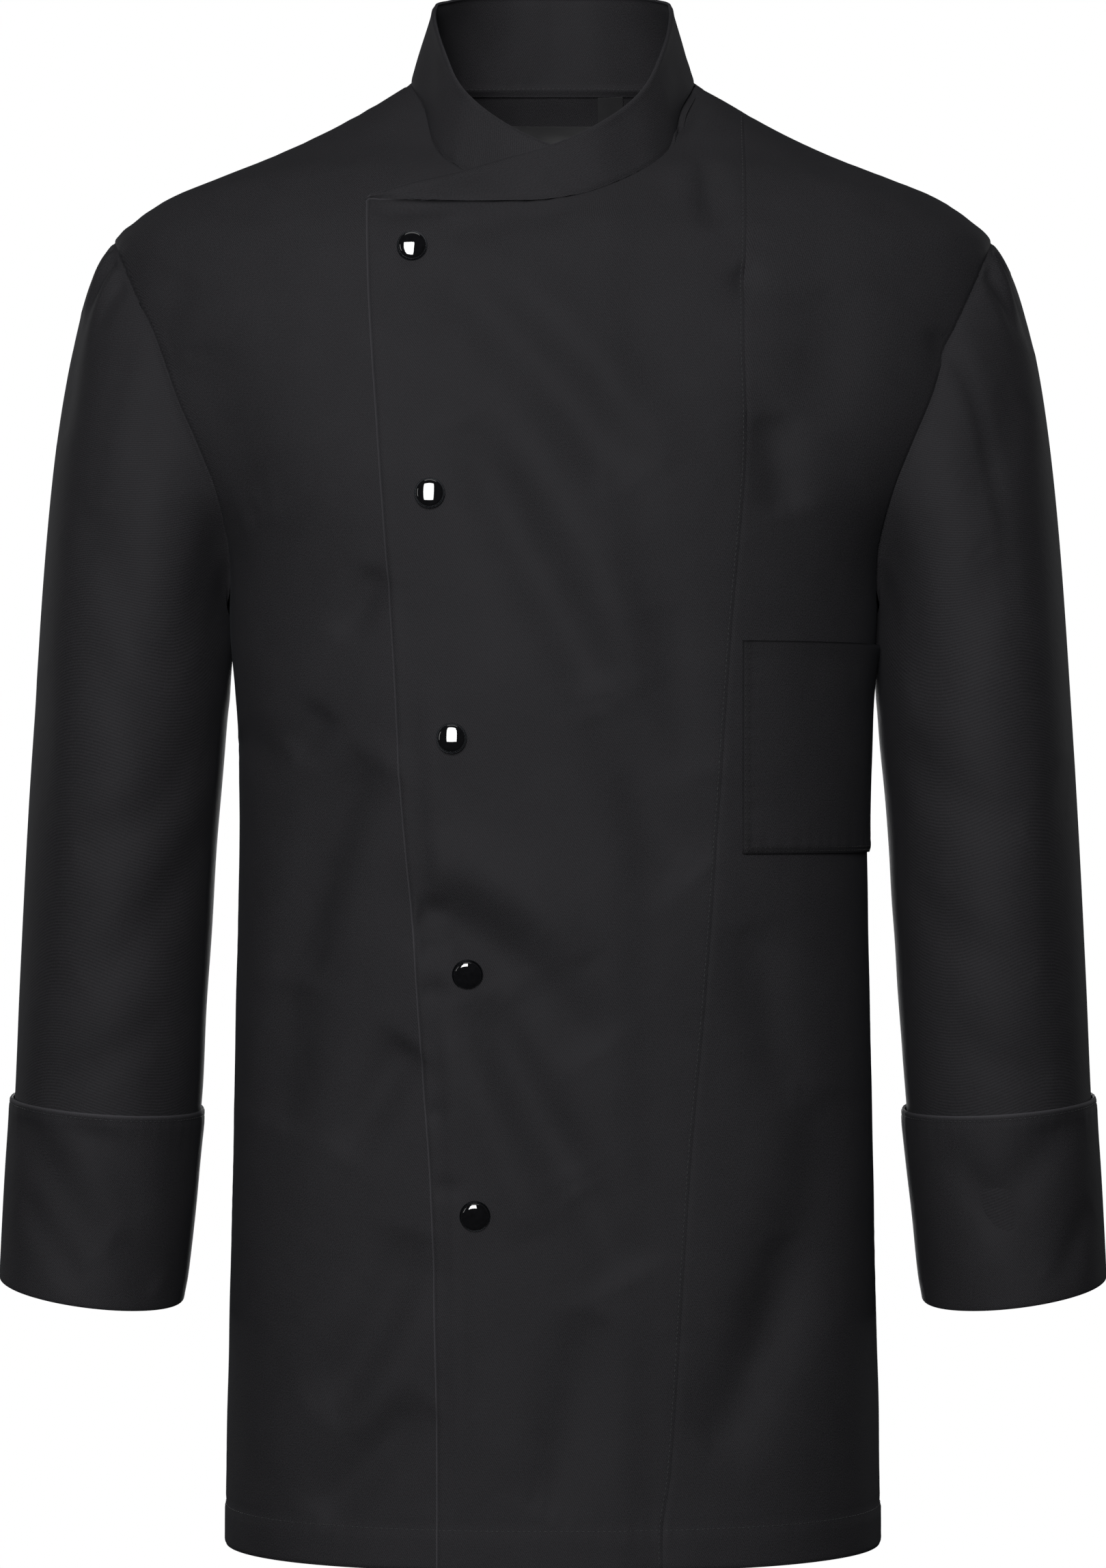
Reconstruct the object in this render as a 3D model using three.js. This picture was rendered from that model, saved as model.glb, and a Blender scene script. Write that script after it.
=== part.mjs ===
// Chef jacket in black twill: diagonal double-breasted front, crossover stand collar, turned-back cuffs.
// It is hollow and filled out as if worn. Millimetres, +Z up, the front faces -Y, the wearer's left is +X.
// The origin is the middle of the neck base, level with the points where the shoulders meet the collar.
import * as THREE from "three";

const WALL = 1.5;
const SEAM_GAP = 0.4;
const LAYER = WALL + 0.4;

const HEM_Z = -820;
const UNDERARM_Z = -300;
const SHOULDER_Z = -90;
const SHOULDER_X = 247;
const NECK_X = 80;
const NECK_Z = 0;
const FRONT = -1;
const BACK = 1;

const ROWS_BELOW_ARMHOLE = 14;
const ROWS_AT_ARMHOLE = 14;

// The torso as level rings, given by their outer face: half width, depth to the front and to the back,
// and the power of the superellipse. Above the underarm a ring runs on across the open armhole,
// and from the shoulder tip up its two ends are the shoulder line.
const BODY = [
  { z: -820, half: 184.3, front: 122, back: 115, power: 2.4 },
  { z: -700, half: 182, front: 119, back: 110, power: 2.4 },
  { z: -554, half: 179, front: 117, back: 106, power: 2.4 },
  { z: -415, half: 176.5, front: 119, back: 109, power: 2.35 },
  { z: -346, half: 178, front: 121, back: 114, power: 2.35 },
  { z: -300, half: 180, front: 121, back: 116, power: 2.3 },
  { z: -262, half: 187, front: 120, back: 117, power: 2.3 },
  { z: -232, half: 209, front: 118, back: 116, power: 2.25 },
  { z: -206, half: 229, front: 115, back: 114, power: 2.2 },
  { z: -182, half: 239, front: 112, back: 112, power: 2.2 },
  { z: -151, half: 246, front: 107, back: 109, power: 2.15 },
  { z: -125, half: 249, front: 100, back: 105, power: 2.1 },
  { z: SHOULDER_Z, half: SHOULDER_X, front: 89, back: 100, power: 2 },
  { z: -78, half: 235, front: 82, back: 97, power: 2 },
  { z: -65, half: 215, front: 74, back: 93, power: 2 },
  { z: -54, half: 188, front: 67, back: 89, power: 2 },
  { z: -42, half: 158, front: 55, back: 84, power: 2 },
  { z: -29, half: 130, front: 45, back: 79, power: 2 },
  { z: -13, half: 101, front: 35, back: 71, power: 2 },
  { z: NECK_Z, half: NECK_X, front: 28, back: 64, power: 2 },
  { z: 5, half: 74, front: 26, back: 62, power: 2 },
];

// Edge of the armhole in the front view, the same at front and back.
const ARMHOLE = [
  { z: -300, x: 180 },
  { z: -280, x: 180.3 },
  { z: -262, x: 181.5 },
  { z: -232, x: 189 },
  { z: -206, x: 199 },
  { z: -182, x: 209 },
  { z: -151, x: 219 },
  { z: -125, x: 231 },
  { z: -101, x: 242 },
  { z: SHOULDER_Z, x: SHOULDER_X },
];

// Free edge of the overlap, from the hem up to the corner of its neckline.
const OVERLAP_EDGE = [
  { z: -820, x: -62.8 },
  { z: -730, x: -63.4 },
  { z: -610, x: -66.7 },
  { z: -545, x: -71.5 },
  { z: -475, x: -76.3 },
  { z: -400, x: -82.5 },
  { z: -316, x: -87.4 },
  { z: -205, x: -95.4 },
  { z: -130, x: -100.7 },
  { z: -74.5, x: -102.5 },
];

// Free edge of the layer under it, which the overlap hides.
const UNDERLAP_EDGE = [
  { z: -820, x: 30 },
  { z: -70, x: 23 },
];
const UNDERLAP_TOP_Z = -76;

// Seam that divides the wearer's left front from shoulder to hem.
const DIVIDING_SEAM = [
  { z: -820, x: 59 },
  { z: -796, x: 59.5 },
  { z: -767, x: 64 },
  { z: -610, x: 74.2 },
  { z: -504, x: 83.5 },
  { z: -400, x: 91 },
  { z: -316, x: 96.6 },
  { z: -248, x: 102.7 },
  { z: -208, x: 105.5 },
  { z: -150, x: 104 },
  { z: -76, x: 106.3 },
  { z: -16, x: 107 },
];

// Collar, from the middle of the back round the wearer's left to the front, then on to the tip
// of the end that crosses over. The seam point lies on the torso, and the top point stands free.
const COLLAR = [
  { face: BACK, seamX: 0, seamZ: 5, topX: 0, topY: 57, topZ: 58 },
  { face: BACK, seamX: 28, seamZ: 4.6, topX: 25, topY: 53.5, topZ: 57.3 },
  { face: BACK, seamX: 52, seamZ: 3.4, topX: 46, topY: 41, topZ: 55 },
  { face: BACK, seamX: 70, seamZ: 1.8, topX: 60, topY: 22, topZ: 50.5 },
  { face: BACK, seamX: NECK_X, seamZ: NECK_Z, topX: 67, topY: 0, topZ: 43 },
  { face: FRONT, seamX: 71.5, seamZ: -18, topX: 63.5, topY: -26, topZ: 21 },
  { face: FRONT, seamX: 65, seamZ: -42, topX: 54, topY: -46, topZ: -3 },
  { face: FRONT, seamX: 48, seamZ: -57, topX: 41.5, topY: -59, topZ: -19 },
  { face: FRONT, seamX: 23, seamZ: -70, topX: 21, topY: -69, topZ: -34 },
  { face: FRONT, seamX: -2, seamZ: -75.3, topX: -2, topY: -73, topZ: -44.5 },
  { face: FRONT, seamX: -23, seamZ: -76, topX: -23, topY: -74, topZ: -50.5 },
  { face: FRONT, seamX: -48, seamZ: -76, topX: -48, topY: -70, topZ: -57.5 },
  { face: FRONT, seamX: -65, seamZ: -75.5, topX: -65.5, topY: -70.5, topZ: -62 },
  { face: FRONT, seamX: -71.5, seamZ: -75.3, topX: -72, topY: -71, topZ: -63.5 },
  { face: FRONT, seamX: -80, seamZ: -75, topX: -81, topY: -71.5, topZ: -66 },
  { face: FRONT, seamX: -102.5, seamZ: -74.5, topX: -101, topY: -72, topZ: -71.5 },
];
const NECK_SIDE = 4;
const UNDERLAP_TOP = 8;
const NECK_MIDDLE = 9;
const COLLAR_HEIGHT_STEPS = 3;

// A sleeve below the armhole as rings round the arm, given by their outer face. Roll lifts the outer
// side and pitch lowers the front.
const SLEEVE = [
  { z: -345, x: 237, y: 3, halfWidth: 54.3, halfDepth: 74, roll: 5, pitch: 0 },
  { z: -415, x: 242, y: 1, halfWidth: 53.5, halfDepth: 71, roll: 4.5, pitch: 0.5 },
  { z: -508, x: 247.1, y: -1, halfWidth: 52.9, halfDepth: 66, roll: 4, pitch: 1.5 },
  { z: -574, x: 251, y: 0, halfWidth: 52, halfDepth: 60, roll: 4.3, pitch: 2.8 },
  { z: -623, x: 255, y: 1, halfWidth: 51.3, halfDepth: 57, roll: 6, pitch: 4 },
  { z: -680, x: 260.2, y: 2, halfWidth: 49.3, halfDepth: 54, roll: 7.7, pitch: 4.8 },
];
const SLEEVE_HEAD_Z = -345;
const CUFF_TOP_Z = -574;
const CUFF_BOTTOM_Z = -680;
const SLEEVE_HEAD_STEPS = 9;
const SLEEVE_ARM_STEPS = 8;
const CUFF_INNER = 0.5;
const CUFF_OUTER = 3;

// Largest folds as soft troughs through three points of the front view, on the front or the back.
const FOLDS = [
  { face: FRONT, x0: -56, z0: -118, x1: 2, z1: -178, x2: 40, z2: -233, depth: 4, width: 15 },
  { face: FRONT, x0: -50, z0: -198, x1: 12, z1: -318, x2: 76, z2: -446, depth: 5, width: 17 },
  { face: FRONT, x0: -73, z0: -462, x1: -32, z1: -487, x2: 24, z2: -540, depth: 6, width: 15 },
  { face: FRONT, x0: -39, z0: -508, x1: 4, z1: -586, x2: 40, z2: -663, depth: 5, width: 15 },
  { face: FRONT, x0: -94, z0: -381, x1: -133, z1: -465, x2: -152, z2: -580, depth: 5.5, width: 16 },
  { face: FRONT, x0: -78, z0: -535, x1: -92, z1: -557, x2: -114, z2: -598, depth: 4, width: 13 },
  { face: FRONT, x0: -75, z0: -637, x1: -97, z1: -692, x2: -128, z2: -735, depth: 4, width: 14 },
  { face: FRONT, x0: 118, z0: -194, x1: 123, z1: -222, x2: 129, z2: -248, depth: 4, width: 12 },
  { face: FRONT, x0: 130, z0: -640, x1: 112, z1: -705, x2: 86, z2: -760, depth: 3.5, width: 15 },
  { face: BACK, x0: -120, z0: -190, x1: -88, z1: -290, x2: -70, z2: -400, depth: 5, width: 18 },
  { face: BACK, x0: 118, z0: -180, x1: 84, z1: -285, x2: 62, z2: -385, depth: 4.5, width: 18 },
  { face: BACK, x0: -60, z0: -430, x1: 0, z1: -455, x2: 66, z2: -432, depth: 4, width: 15 },
  { face: BACK, x0: 96, z0: -500, x1: 72, z1: -600, x2: 58, z2: -720, depth: 4.5, width: 17 },
  { face: BACK, x0: -104, z0: -520, x1: -78, z1: -630, x2: -66, z2: -740, depth: 4, width: 17 },
];
const FOLD_SAMPLES = 10;

// Press studs down the overlap, by their middles in the front view.
const STUDS = [
  { x: -76.6, z: -102.3 },
  { x: -66.3, z: -237.9 },
  { x: -54.4, z: -370.3 },
  { x: -46.3, z: -498 },
  { x: -41.9, z: -628.3 },
];
const STUD_SEAT = LAYER + 0.7;
const STUD_SIDES = 16;

// Half section of a stud, from its flat back over the rim to the top of the dome.
const STUD_PROFILE = [
  { radius: 0, height: 0 },
  { radius: 7.6, height: 0 },
  { radius: 8.3, height: 0.6 },
  { radius: 8.3, height: 1.2 },
  { radius: 7.5, height: 1.8 },
  { radius: 5.6, height: 3.1 },
  { radius: 2.9, height: 4 },
  { radius: 0, height: 4.3 },
];

const POCKET = { left: 102.5, top: -317, bottom: -433, sideY: 6, gap: 0.9, wall: 1.2, columns: 7, rows: 4 };
const NECK_LABEL = { left: -26.5, right: 23.5, top: -14, bottom: -44, columns: 4, rows: 2 };
const SIZE_TAB = { left: 26.5, right: 41, top: 1, bottom: -24, columns: 1, rows: 2 };
const LABEL_WALL = 1;
const LABEL_GAP = 1.2;

const CLOTH = { color: 0x1e2023, roughness: 0.85, metalness: 0 };
const STUD_FINISH = { color: 0x050506, roughness: 0.12, metalness: 0.1 };
const LABEL_FINISH = { color: 0x2a2b2e, roughness: 0.7, metalness: 0 };

const radians = THREE.MathUtils.degToRad;
const mix = THREE.MathUtils.lerp;

// A smooth curve through one column of a table, read by another column that rises down the table.
function column(rows, by, of) {
  const slope = (i) => {
    const a = rows[Math.max(i - 1, 0)];
    const b = rows[Math.min(i + 1, rows.length - 1)];
    return (b[of] - a[of]) / (b[by] - a[by]);
  };
  return (at) => {
    let i = 0;
    while (i < rows.length - 2 && at > rows[i + 1][by]) i += 1;
    const a = rows[i];
    const b = rows[i + 1];
    const span = b[by] - a[by];
    const t = THREE.MathUtils.clamp((at - a[by]) / span, 0, 1);
    const rise = t * t * (3 - 2 * t);
    const start = t * (1 - t) * (1 - t) * span * slope(i);
    const end = t * t * (t - 1) * span * slope(i + 1);
    return a[of] + rise * (b[of] - a[of]) + start + end;
  };
}

const bodyHalf = column(BODY, "z", "half");
const bodyDepth = { [FRONT]: column(BODY, "z", "front"), [BACK]: column(BODY, "z", "back") };
const bodyPower = column(BODY, "z", "power");
const armholeX = column(ARMHOLE, "z", "x");
const overlapX = column(OVERLAP_EDGE, "z", "x");
const underlapX = column(UNDERLAP_EDGE, "z", "x");
const dividingX = column(DIVIDING_SEAM, "z", "x");
const sleeveColumn = (of) => column([...SLEEVE].reverse(), "z", of);
const sleeveRing = {
  x: sleeveColumn("x"),
  y: sleeveColumn("y"),
  halfWidth: sleeveColumn("halfWidth"),
  halfDepth: sleeveColumn("halfDepth"),
  roll: sleeveColumn("roll"),
  pitch: sleeveColumn("pitch"),
};

// How far the largest folds press the cloth in at a place of the front view.
function foldDepth(x, z, face) {
  let depth = 0;
  for (const fold of FOLDS) {
    if (fold.face !== face) continue;
    let nearest = Infinity;
    let along = 0;
    for (let k = 0; k <= FOLD_SAMPLES; k += 1) {
      const t = k / FOLD_SAMPLES;
      const bend = 4 * t * (1 - t);
      const px = mix(fold.x0, fold.x2, t) + bend * (fold.x1 - (fold.x0 + fold.x2) / 2);
      const pz = mix(fold.z0, fold.z2, t) + bend * (fold.z1 - (fold.z0 + fold.z2) / 2);
      const distance = Math.hypot(x - px, z - pz);
      if (distance < nearest) {
        nearest = distance;
        along = t;
      }
    }
    const taper = 1 - Math.pow(2 * along - 1, 4);
    depth += fold.depth * taper * Math.exp(-((nearest / fold.width) ** 2));
  }
  return depth;
}

// Place and outward normal of the torso's outer face at a place of the front view.
function torso(x, z, face) {
  const share = THREE.MathUtils.clamp(x / bodyHalf(z), -1, 1);
  const depthAt = (level) => {
    const power = bodyPower(level);
    return bodyDepth[face](level) * Math.pow(Math.max(0, 1 - Math.abs(share) ** power), 1 / power);
  };
  const power = bodyPower(z);
  const depth = bodyDepth[face](z);
  const y = depthAt(z);
  const flat = new THREE.Vector2(
    (Math.sign(share) * Math.abs(share) ** (power - 1)) / bodyHalf(z),
    (face * (y / depth) ** (power - 1)) / depth,
  ).normalize();
  const step = 1;
  const slopeX = (share * (bodyHalf(z + step) - bodyHalf(z - step))) / (2 * step);
  const slopeY = (face * (depthAt(z + step) - depthAt(z - step))) / (2 * step);
  const normal = new THREE.Vector3(flat.x, flat.y, -(flat.x * slopeX + flat.y * slopeY)).normalize();
  const place = new THREE.Vector3(x, face * (y + SEAM_GAP / 2), z);
  place.addScaledVector(normal, -foldDepth(x, z, face));
  return { place, normal };
}

function onTorso(x, z, face, offset) {
  const { place, normal } = torso(x, z, face);
  return place.addScaledVector(normal, offset);
}

// How far the overlap stands off the torso: one layer over the underlap, none past its edge.
function overlapLift(x, z) {
  return LAYER * (1 - THREE.MathUtils.smoothstep(x, underlapX(z) + 3, underlapX(z) + 27));
}

// A closed body from two matching grids of points. A grid's rows may close on themselves,
// and so may its columns, when the second grid is left out.
function solid(outer, inner, closed) {
  const rows = outer.length;
  const cols = outer[0].length;
  const points = [...outer.flat(), ...(inner ? inner.flat() : [])];
  const faces = [];
  const at = (layer, r, c) => layer * rows * cols + (r % rows) * cols + (c % cols);
  const quad = (a, b, c, d) => faces.push(a, b, c, a, c, d);
  const rowSteps = inner ? rows - 1 : rows;
  const colSteps = closed ? cols : cols - 1;
  for (let r = 0; r < rowSteps; r += 1) {
    for (let c = 0; c < colSteps; c += 1) {
      quad(at(0, r, c), at(0, r, c + 1), at(0, r + 1, c + 1), at(0, r + 1, c));
      if (inner) quad(at(1, r, c), at(1, r + 1, c), at(1, r + 1, c + 1), at(1, r, c + 1));
    }
    if (inner && !closed) {
      quad(at(0, r, 0), at(0, r + 1, 0), at(1, r + 1, 0), at(1, r, 0));
      quad(at(0, r, cols - 1), at(1, r, cols - 1), at(1, r + 1, cols - 1), at(0, r + 1, cols - 1));
    }
  }
  for (let c = 0; inner && c < colSteps; c += 1) {
    quad(at(0, 0, c), at(1, 0, c), at(1, 0, c + 1), at(0, 0, c + 1));
    quad(at(0, rows - 1, c), at(0, rows - 1, c + 1), at(1, rows - 1, c + 1), at(1, rows - 1, c));
  }
  let volume = 0;
  for (let i = 0; i < faces.length; i += 3) {
    const [a, b, c] = [points[faces[i]], points[faces[i + 1]], points[faces[i + 2]]];
    volume += a.dot(new THREE.Vector3().crossVectors(b, c));
  }
  if (volume < 0) faces.reverse();
  const geometry = new THREE.BufferGeometry().setFromPoints(points);
  geometry.setIndex(faces);
  geometry.computeVertexNormals();
  return geometry;
}

function grid(rows, cols, pointAt) {
  return Array.from({ length: rows + 1 }, (_, r) =>
    Array.from({ length: cols + 1 }, (_, c) => pointAt(r / rows, c / cols)),
  );
}

// Levels of the rows of a panel, at its side and armhole: even below the underarm,
// then closest at both ends of the armhole.
const SIDE_LEVELS = [];
for (let k = 0; k < ROWS_BELOW_ARMHOLE; k += 1) {
  SIDE_LEVELS.push(mix(HEM_Z, UNDERARM_Z, k / ROWS_BELOW_ARMHOLE));
}
for (let k = 0; k <= ROWS_AT_ARMHOLE; k += 1) {
  const t = (1 - Math.cos((Math.PI * k) / ROWS_AT_ARMHOLE)) / 2;
  SIDE_LEVELS.push(mix(UNDERARM_Z, SHOULDER_Z, t));
}

// Row at which the zones of a front change, just below the collar's tip.
const YOKE_ROW = ROWS_BELOW_ARMHOLE + ROWS_AT_ARMHOLE - 3;
const YOKE_Z = -86;

function sideX(z) {
  return z <= UNDERARM_Z ? bodyHalf(z) : armholeX(z);
}

// A panel from rows of places in the front view, each row as long as the next.
function panel(rows, face, lift) {
  const layer = (offset) =>
    rows.map((row) => row.map(({ x, z }) => onTorso(x, z, face, offset + lift(x, z))));
  return solid(layer(0), layer(-WALL), false);
}

// Share of the way up to the yoke line at which each row of a front stands.
const riseShare = (row) => (SIDE_LEVELS[row] - HEM_Z) / (SIDE_LEVELS[YOKE_ROW] - HEM_Z);

function sharesBetween(points, left, right) {
  return points.map(({ x }) => (x - left) / (right - left));
}

// One zone of a front, between two long edges. Up to the yoke line its rows run across from edge to
// edge. Above it they close in on the top edge, which has a point for each column.
function zone({ leftX, rightX, leftYoke, rightYoke, top, shares }) {
  return SIDE_LEVELS.map((level, r) => {
    const row = Math.min(r, YOKE_ROW);
    const leftZ = leftYoke === null ? SIDE_LEVELS[row] : mix(HEM_Z, leftYoke, riseShare(row));
    const rightZ = rightYoke === null ? SIDE_LEVELS[row] : mix(HEM_Z, rightYoke, riseShare(row));
    const above = r <= YOKE_ROW ? 0 : (level - SIDE_LEVELS[YOKE_ROW]) / (SHOULDER_Z - SIDE_LEVELS[YOKE_ROW]);
    return top.map((end, c) => {
      const x = mix(leftX(leftZ), rightX(rightZ), shares[c]);
      const z = mix(leftZ, rightZ, shares[c]);
      return { x: mix(x, end.x, above), z: mix(z, end.z, above) };
    });
  });
}

const joinZones = (left, right) => left.map((row, r) => [...row, ...right[r].slice(1)]);

// Points of a shoulder line from one height to another, on the wearer's left (+1) or right (-1).
function shoulder(side, fromZ, toZ, steps) {
  return Array.from({ length: steps + 1 }, (_, k) => {
    const z = mix(fromZ, toZ, k / steps);
    return { x: side * bodyHalf(z), z };
  });
}

// Height of the shoulder line at a distance from the middle.
function shoulderZ(x) {
  let [low, high] = [SHOULDER_Z, NECK_Z];
  while (high - low > 0.01) {
    const middle = (low + high) / 2;
    if (bodyHalf(middle) > x) low = middle;
    else high = middle;
  }
  return low;
}

function neckline(side, from, to) {
  const step = from < to ? 1 : -1;
  const points = [];
  for (let i = from; i !== to + step; i += step) {
    points.push({ x: side * COLLAR[i].seamX, z: COLLAR[i].seamZ });
  }
  return points;
}

const even = (count) => Array.from({ length: count }, (_, c) => c / (count - 1));
// Columns that close up towards a side of the torso, where its surface turns round.
const towardsRight = (count, start) => {
  const low = Math.sin(radians(start));
  return even(count).map((t) => (Math.sin(radians(mix(start, 90, t))) - low) / (1 - low));
};
const towardsLeft = (count, start) => towardsRight(count, start).map((share) => 1 - share).reverse();
const flush = () => 0;

function backPanel() {
  const top = [
    ...shoulder(-1, SHOULDER_Z, NECK_Z, 7),
    ...neckline(-1, NECK_SIDE - 1, 0),
    ...neckline(1, 1, NECK_SIDE),
    ...shoulder(1, NECK_Z, SHOULDER_Z, 7).slice(1),
  ];
  const shares = even(top.length).map((t) => (1 + Math.sin(radians(mix(-90, 90, t)))) / 2);
  const rows = SIDE_LEVELS.map((level) => {
    const rise = (level - HEM_Z) / (SHOULDER_Z - HEM_Z);
    const bend = rise * rise;
    return top.map((end, c) => {
      const across = 2 * shares[c] - 1;
      const x = across * sideX(level) + bend * (end.x - across * SHOULDER_X);
      return { x, z: level + bend * (end.z - SHOULDER_Z) };
    });
  });
  return panel(rows, BACK, flush);
}

// The zone where the wearer's left front lies on the right one. Both have its columns.
const SHARED_TOP = neckline(1, COLLAR.length - 1, UNDERLAP_TOP);
const SHARED_SHARES = sharesBetween(SHARED_TOP, overlapX(YOKE_Z), underlapX(YOKE_Z));
const SHARED = { leftX: overlapX, rightX: underlapX, leftYoke: YOKE_Z, rightYoke: YOKE_Z, shares: SHARED_SHARES };

function rightFront() {
  const corner = -COLLAR[COLLAR.length - 1].seamX;
  const armhole = shoulder(-1, SHOULDER_Z, shoulderZ(corner), 7);
  const side = zone({
    leftX: (z) => -sideX(z),
    rightX: overlapX,
    leftYoke: null,
    rightYoke: YOKE_Z,
    top: armhole,
    shares: towardsLeft(armhole.length, 30),
  });
  const top = [
    armhole[armhole.length - 1],
    ...neckline(-1, NECK_SIDE, UNDERLAP_TOP),
    { x: COLLAR[NECK_MIDDLE].seamX, z: COLLAR[NECK_MIDDLE].seamZ },
    { x: underlapX(UNDERLAP_TOP_Z), z: UNDERLAP_TOP_Z },
  ];
  const under = zone({ ...SHARED, top });
  return panel(joinZones(side, under), FRONT, flush);
}

function overlapFront() {
  const seamTop = DIVIDING_SEAM[DIVIDING_SEAM.length - 1];
  const rightX = (z) => dividingX(z) - SEAM_GAP / 2;
  const top = [
    ...neckline(1, UNDERLAP_TOP, NECK_SIDE),
    { x: (NECK_X + seamTop.x) / 2, z: shoulderZ((NECK_X + seamTop.x) / 2) },
    { x: rightX(seamTop.z), z: seamTop.z },
  ];
  const shares = even(top.length);
  const over = zone({ ...SHARED, top: SHARED_TOP });
  const beside = zone({ leftX: underlapX, rightX, leftYoke: YOKE_Z, rightYoke: YOKE_Z, top, shares });
  return panel(joinZones(over, beside), FRONT, overlapLift);
}

function leftSideFront() {
  const seamTop = DIVIDING_SEAM[DIVIDING_SEAM.length - 1];
  const leftX = (z) => dividingX(z) + SEAM_GAP / 2;
  const top = shoulder(1, shoulderZ(seamTop.x), SHOULDER_Z, 7);
  top[0] = { x: leftX(seamTop.z), z: seamTop.z };
  const shares = towardsRight(top.length, 25);
  const rows = zone({ leftX, rightX: sideX, leftYoke: YOKE_Z, rightYoke: null, top, shares });
  return panel(rows, FRONT, overlapLift);
}

// The collar is one band: its under end starts on the wearer's right of the front, it runs round
// the back, and its upper end crosses over to a point.
function collar() {
  const stations = [
    ...COLLAR.slice(1, NECK_MIDDLE + 1).reverse().map((row) => ({ ...row, side: -1, lift: 0 })),
    ...COLLAR.map((row) => ({ ...row, side: 1, lift: overlapLift(row.seamX, row.seamZ) })),
  ];
  stations.forEach((row) => {
    const seam = torso(row.side * row.seamX, row.seamZ, row.face);
    row.top = new THREE.Vector3(row.side * row.topX, row.topY, row.topZ);
    row.seam = seam.place;
    row.seamNormal = seam.normal;
    row.up = new THREE.Vector3().subVectors(row.top, row.seam).normalize();
    row.seam.addScaledVector(row.up, SEAM_GAP);
  });
  const layer = (offset) =>
    Array.from({ length: COLLAR_HEIGHT_STEPS + 1 }, (_, r) => {
      const height = r / COLLAR_HEIGHT_STEPS;
      return stations.map((row, i) => {
        const before = stations[Math.max(i - 1, 0)];
        const after = stations[Math.min(i + 1, stations.length - 1)];
        const along = new THREE.Vector3().subVectors(after.seam, before.seam);
        const across = new THREE.Vector3().crossVectors(along, row.up).normalize();
        if (across.dot(row.seamNormal) < 0) across.negate();
        const normal = new THREE.Vector3().lerpVectors(row.seamNormal, across, Math.min(1, 2 * height));
        normal.normalize();
        return new THREE.Vector3()
          .lerpVectors(row.seam, row.top, height)
          .addScaledVector(normal, offset + row.lift);
      });
    });
  return solid(layer(0), layer(-WALL), false);
}

// Point of a sleeve ring. The angle is 0 on the outer side, 90 degrees at the front.
function sleevePoint(side, z, angle, offset) {
  const roll = radians(sleeveRing.roll(z));
  const pitch = radians(sleeveRing.pitch(z));
  const wide = (sleeveRing.halfWidth(z) + offset) * Math.cos(angle);
  const deep = (sleeveRing.halfDepth(z) + offset) * Math.sin(angle);
  return new THREE.Vector3(
    side * (sleeveRing.x(z) + wide * Math.cos(roll)),
    sleeveRing.y(z) - deep * Math.cos(pitch),
    z + wide * Math.sin(roll) - deep * Math.sin(pitch),
  );
}

// Loop of the armhole's edge, from the shoulder tip down the front, under the arm and up the back.
function armholeLoop(side) {
  const levels = SIDE_LEVELS.slice(ROWS_BELOW_ARMHOLE);
  const down = levels.map((z) => ({ ...torso(side * armholeX(z), z, FRONT) })).reverse();
  const up = levels.map((z) => ({ ...torso(side * armholeX(z), z, BACK) }));
  const between = (a, b) => ({
    place: new THREE.Vector3().lerpVectors(a.place, b.place, 0.5),
    normal: new THREE.Vector3().addVectors(a.normal, b.normal).normalize(),
  });
  const tip = between(down[0], up[up.length - 1]);
  const under = between(down[down.length - 1], up[0]);
  return [tip, ...down.slice(1, -1), under, ...up.slice(1, -1)];
}

// Direction in which a sleeve leaves the armhole: down the shoulder's slope at the top, straight
// out under the arm, and out and a little to the front or back between.
function sleeveStart(side, angle) {
  const top = Math.max(0, Math.cos(angle));
  const under = Math.max(0, -Math.cos(angle));
  const flank = Math.sin(angle);
  return new THREE.Vector3(
    side * (0.75 * top + under + 0.85 * Math.abs(flank)),
    -0.3 * flank,
    -0.66 * top - 0.1 * under - 0.4 * Math.abs(flank),
  ).normalize();
}

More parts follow.
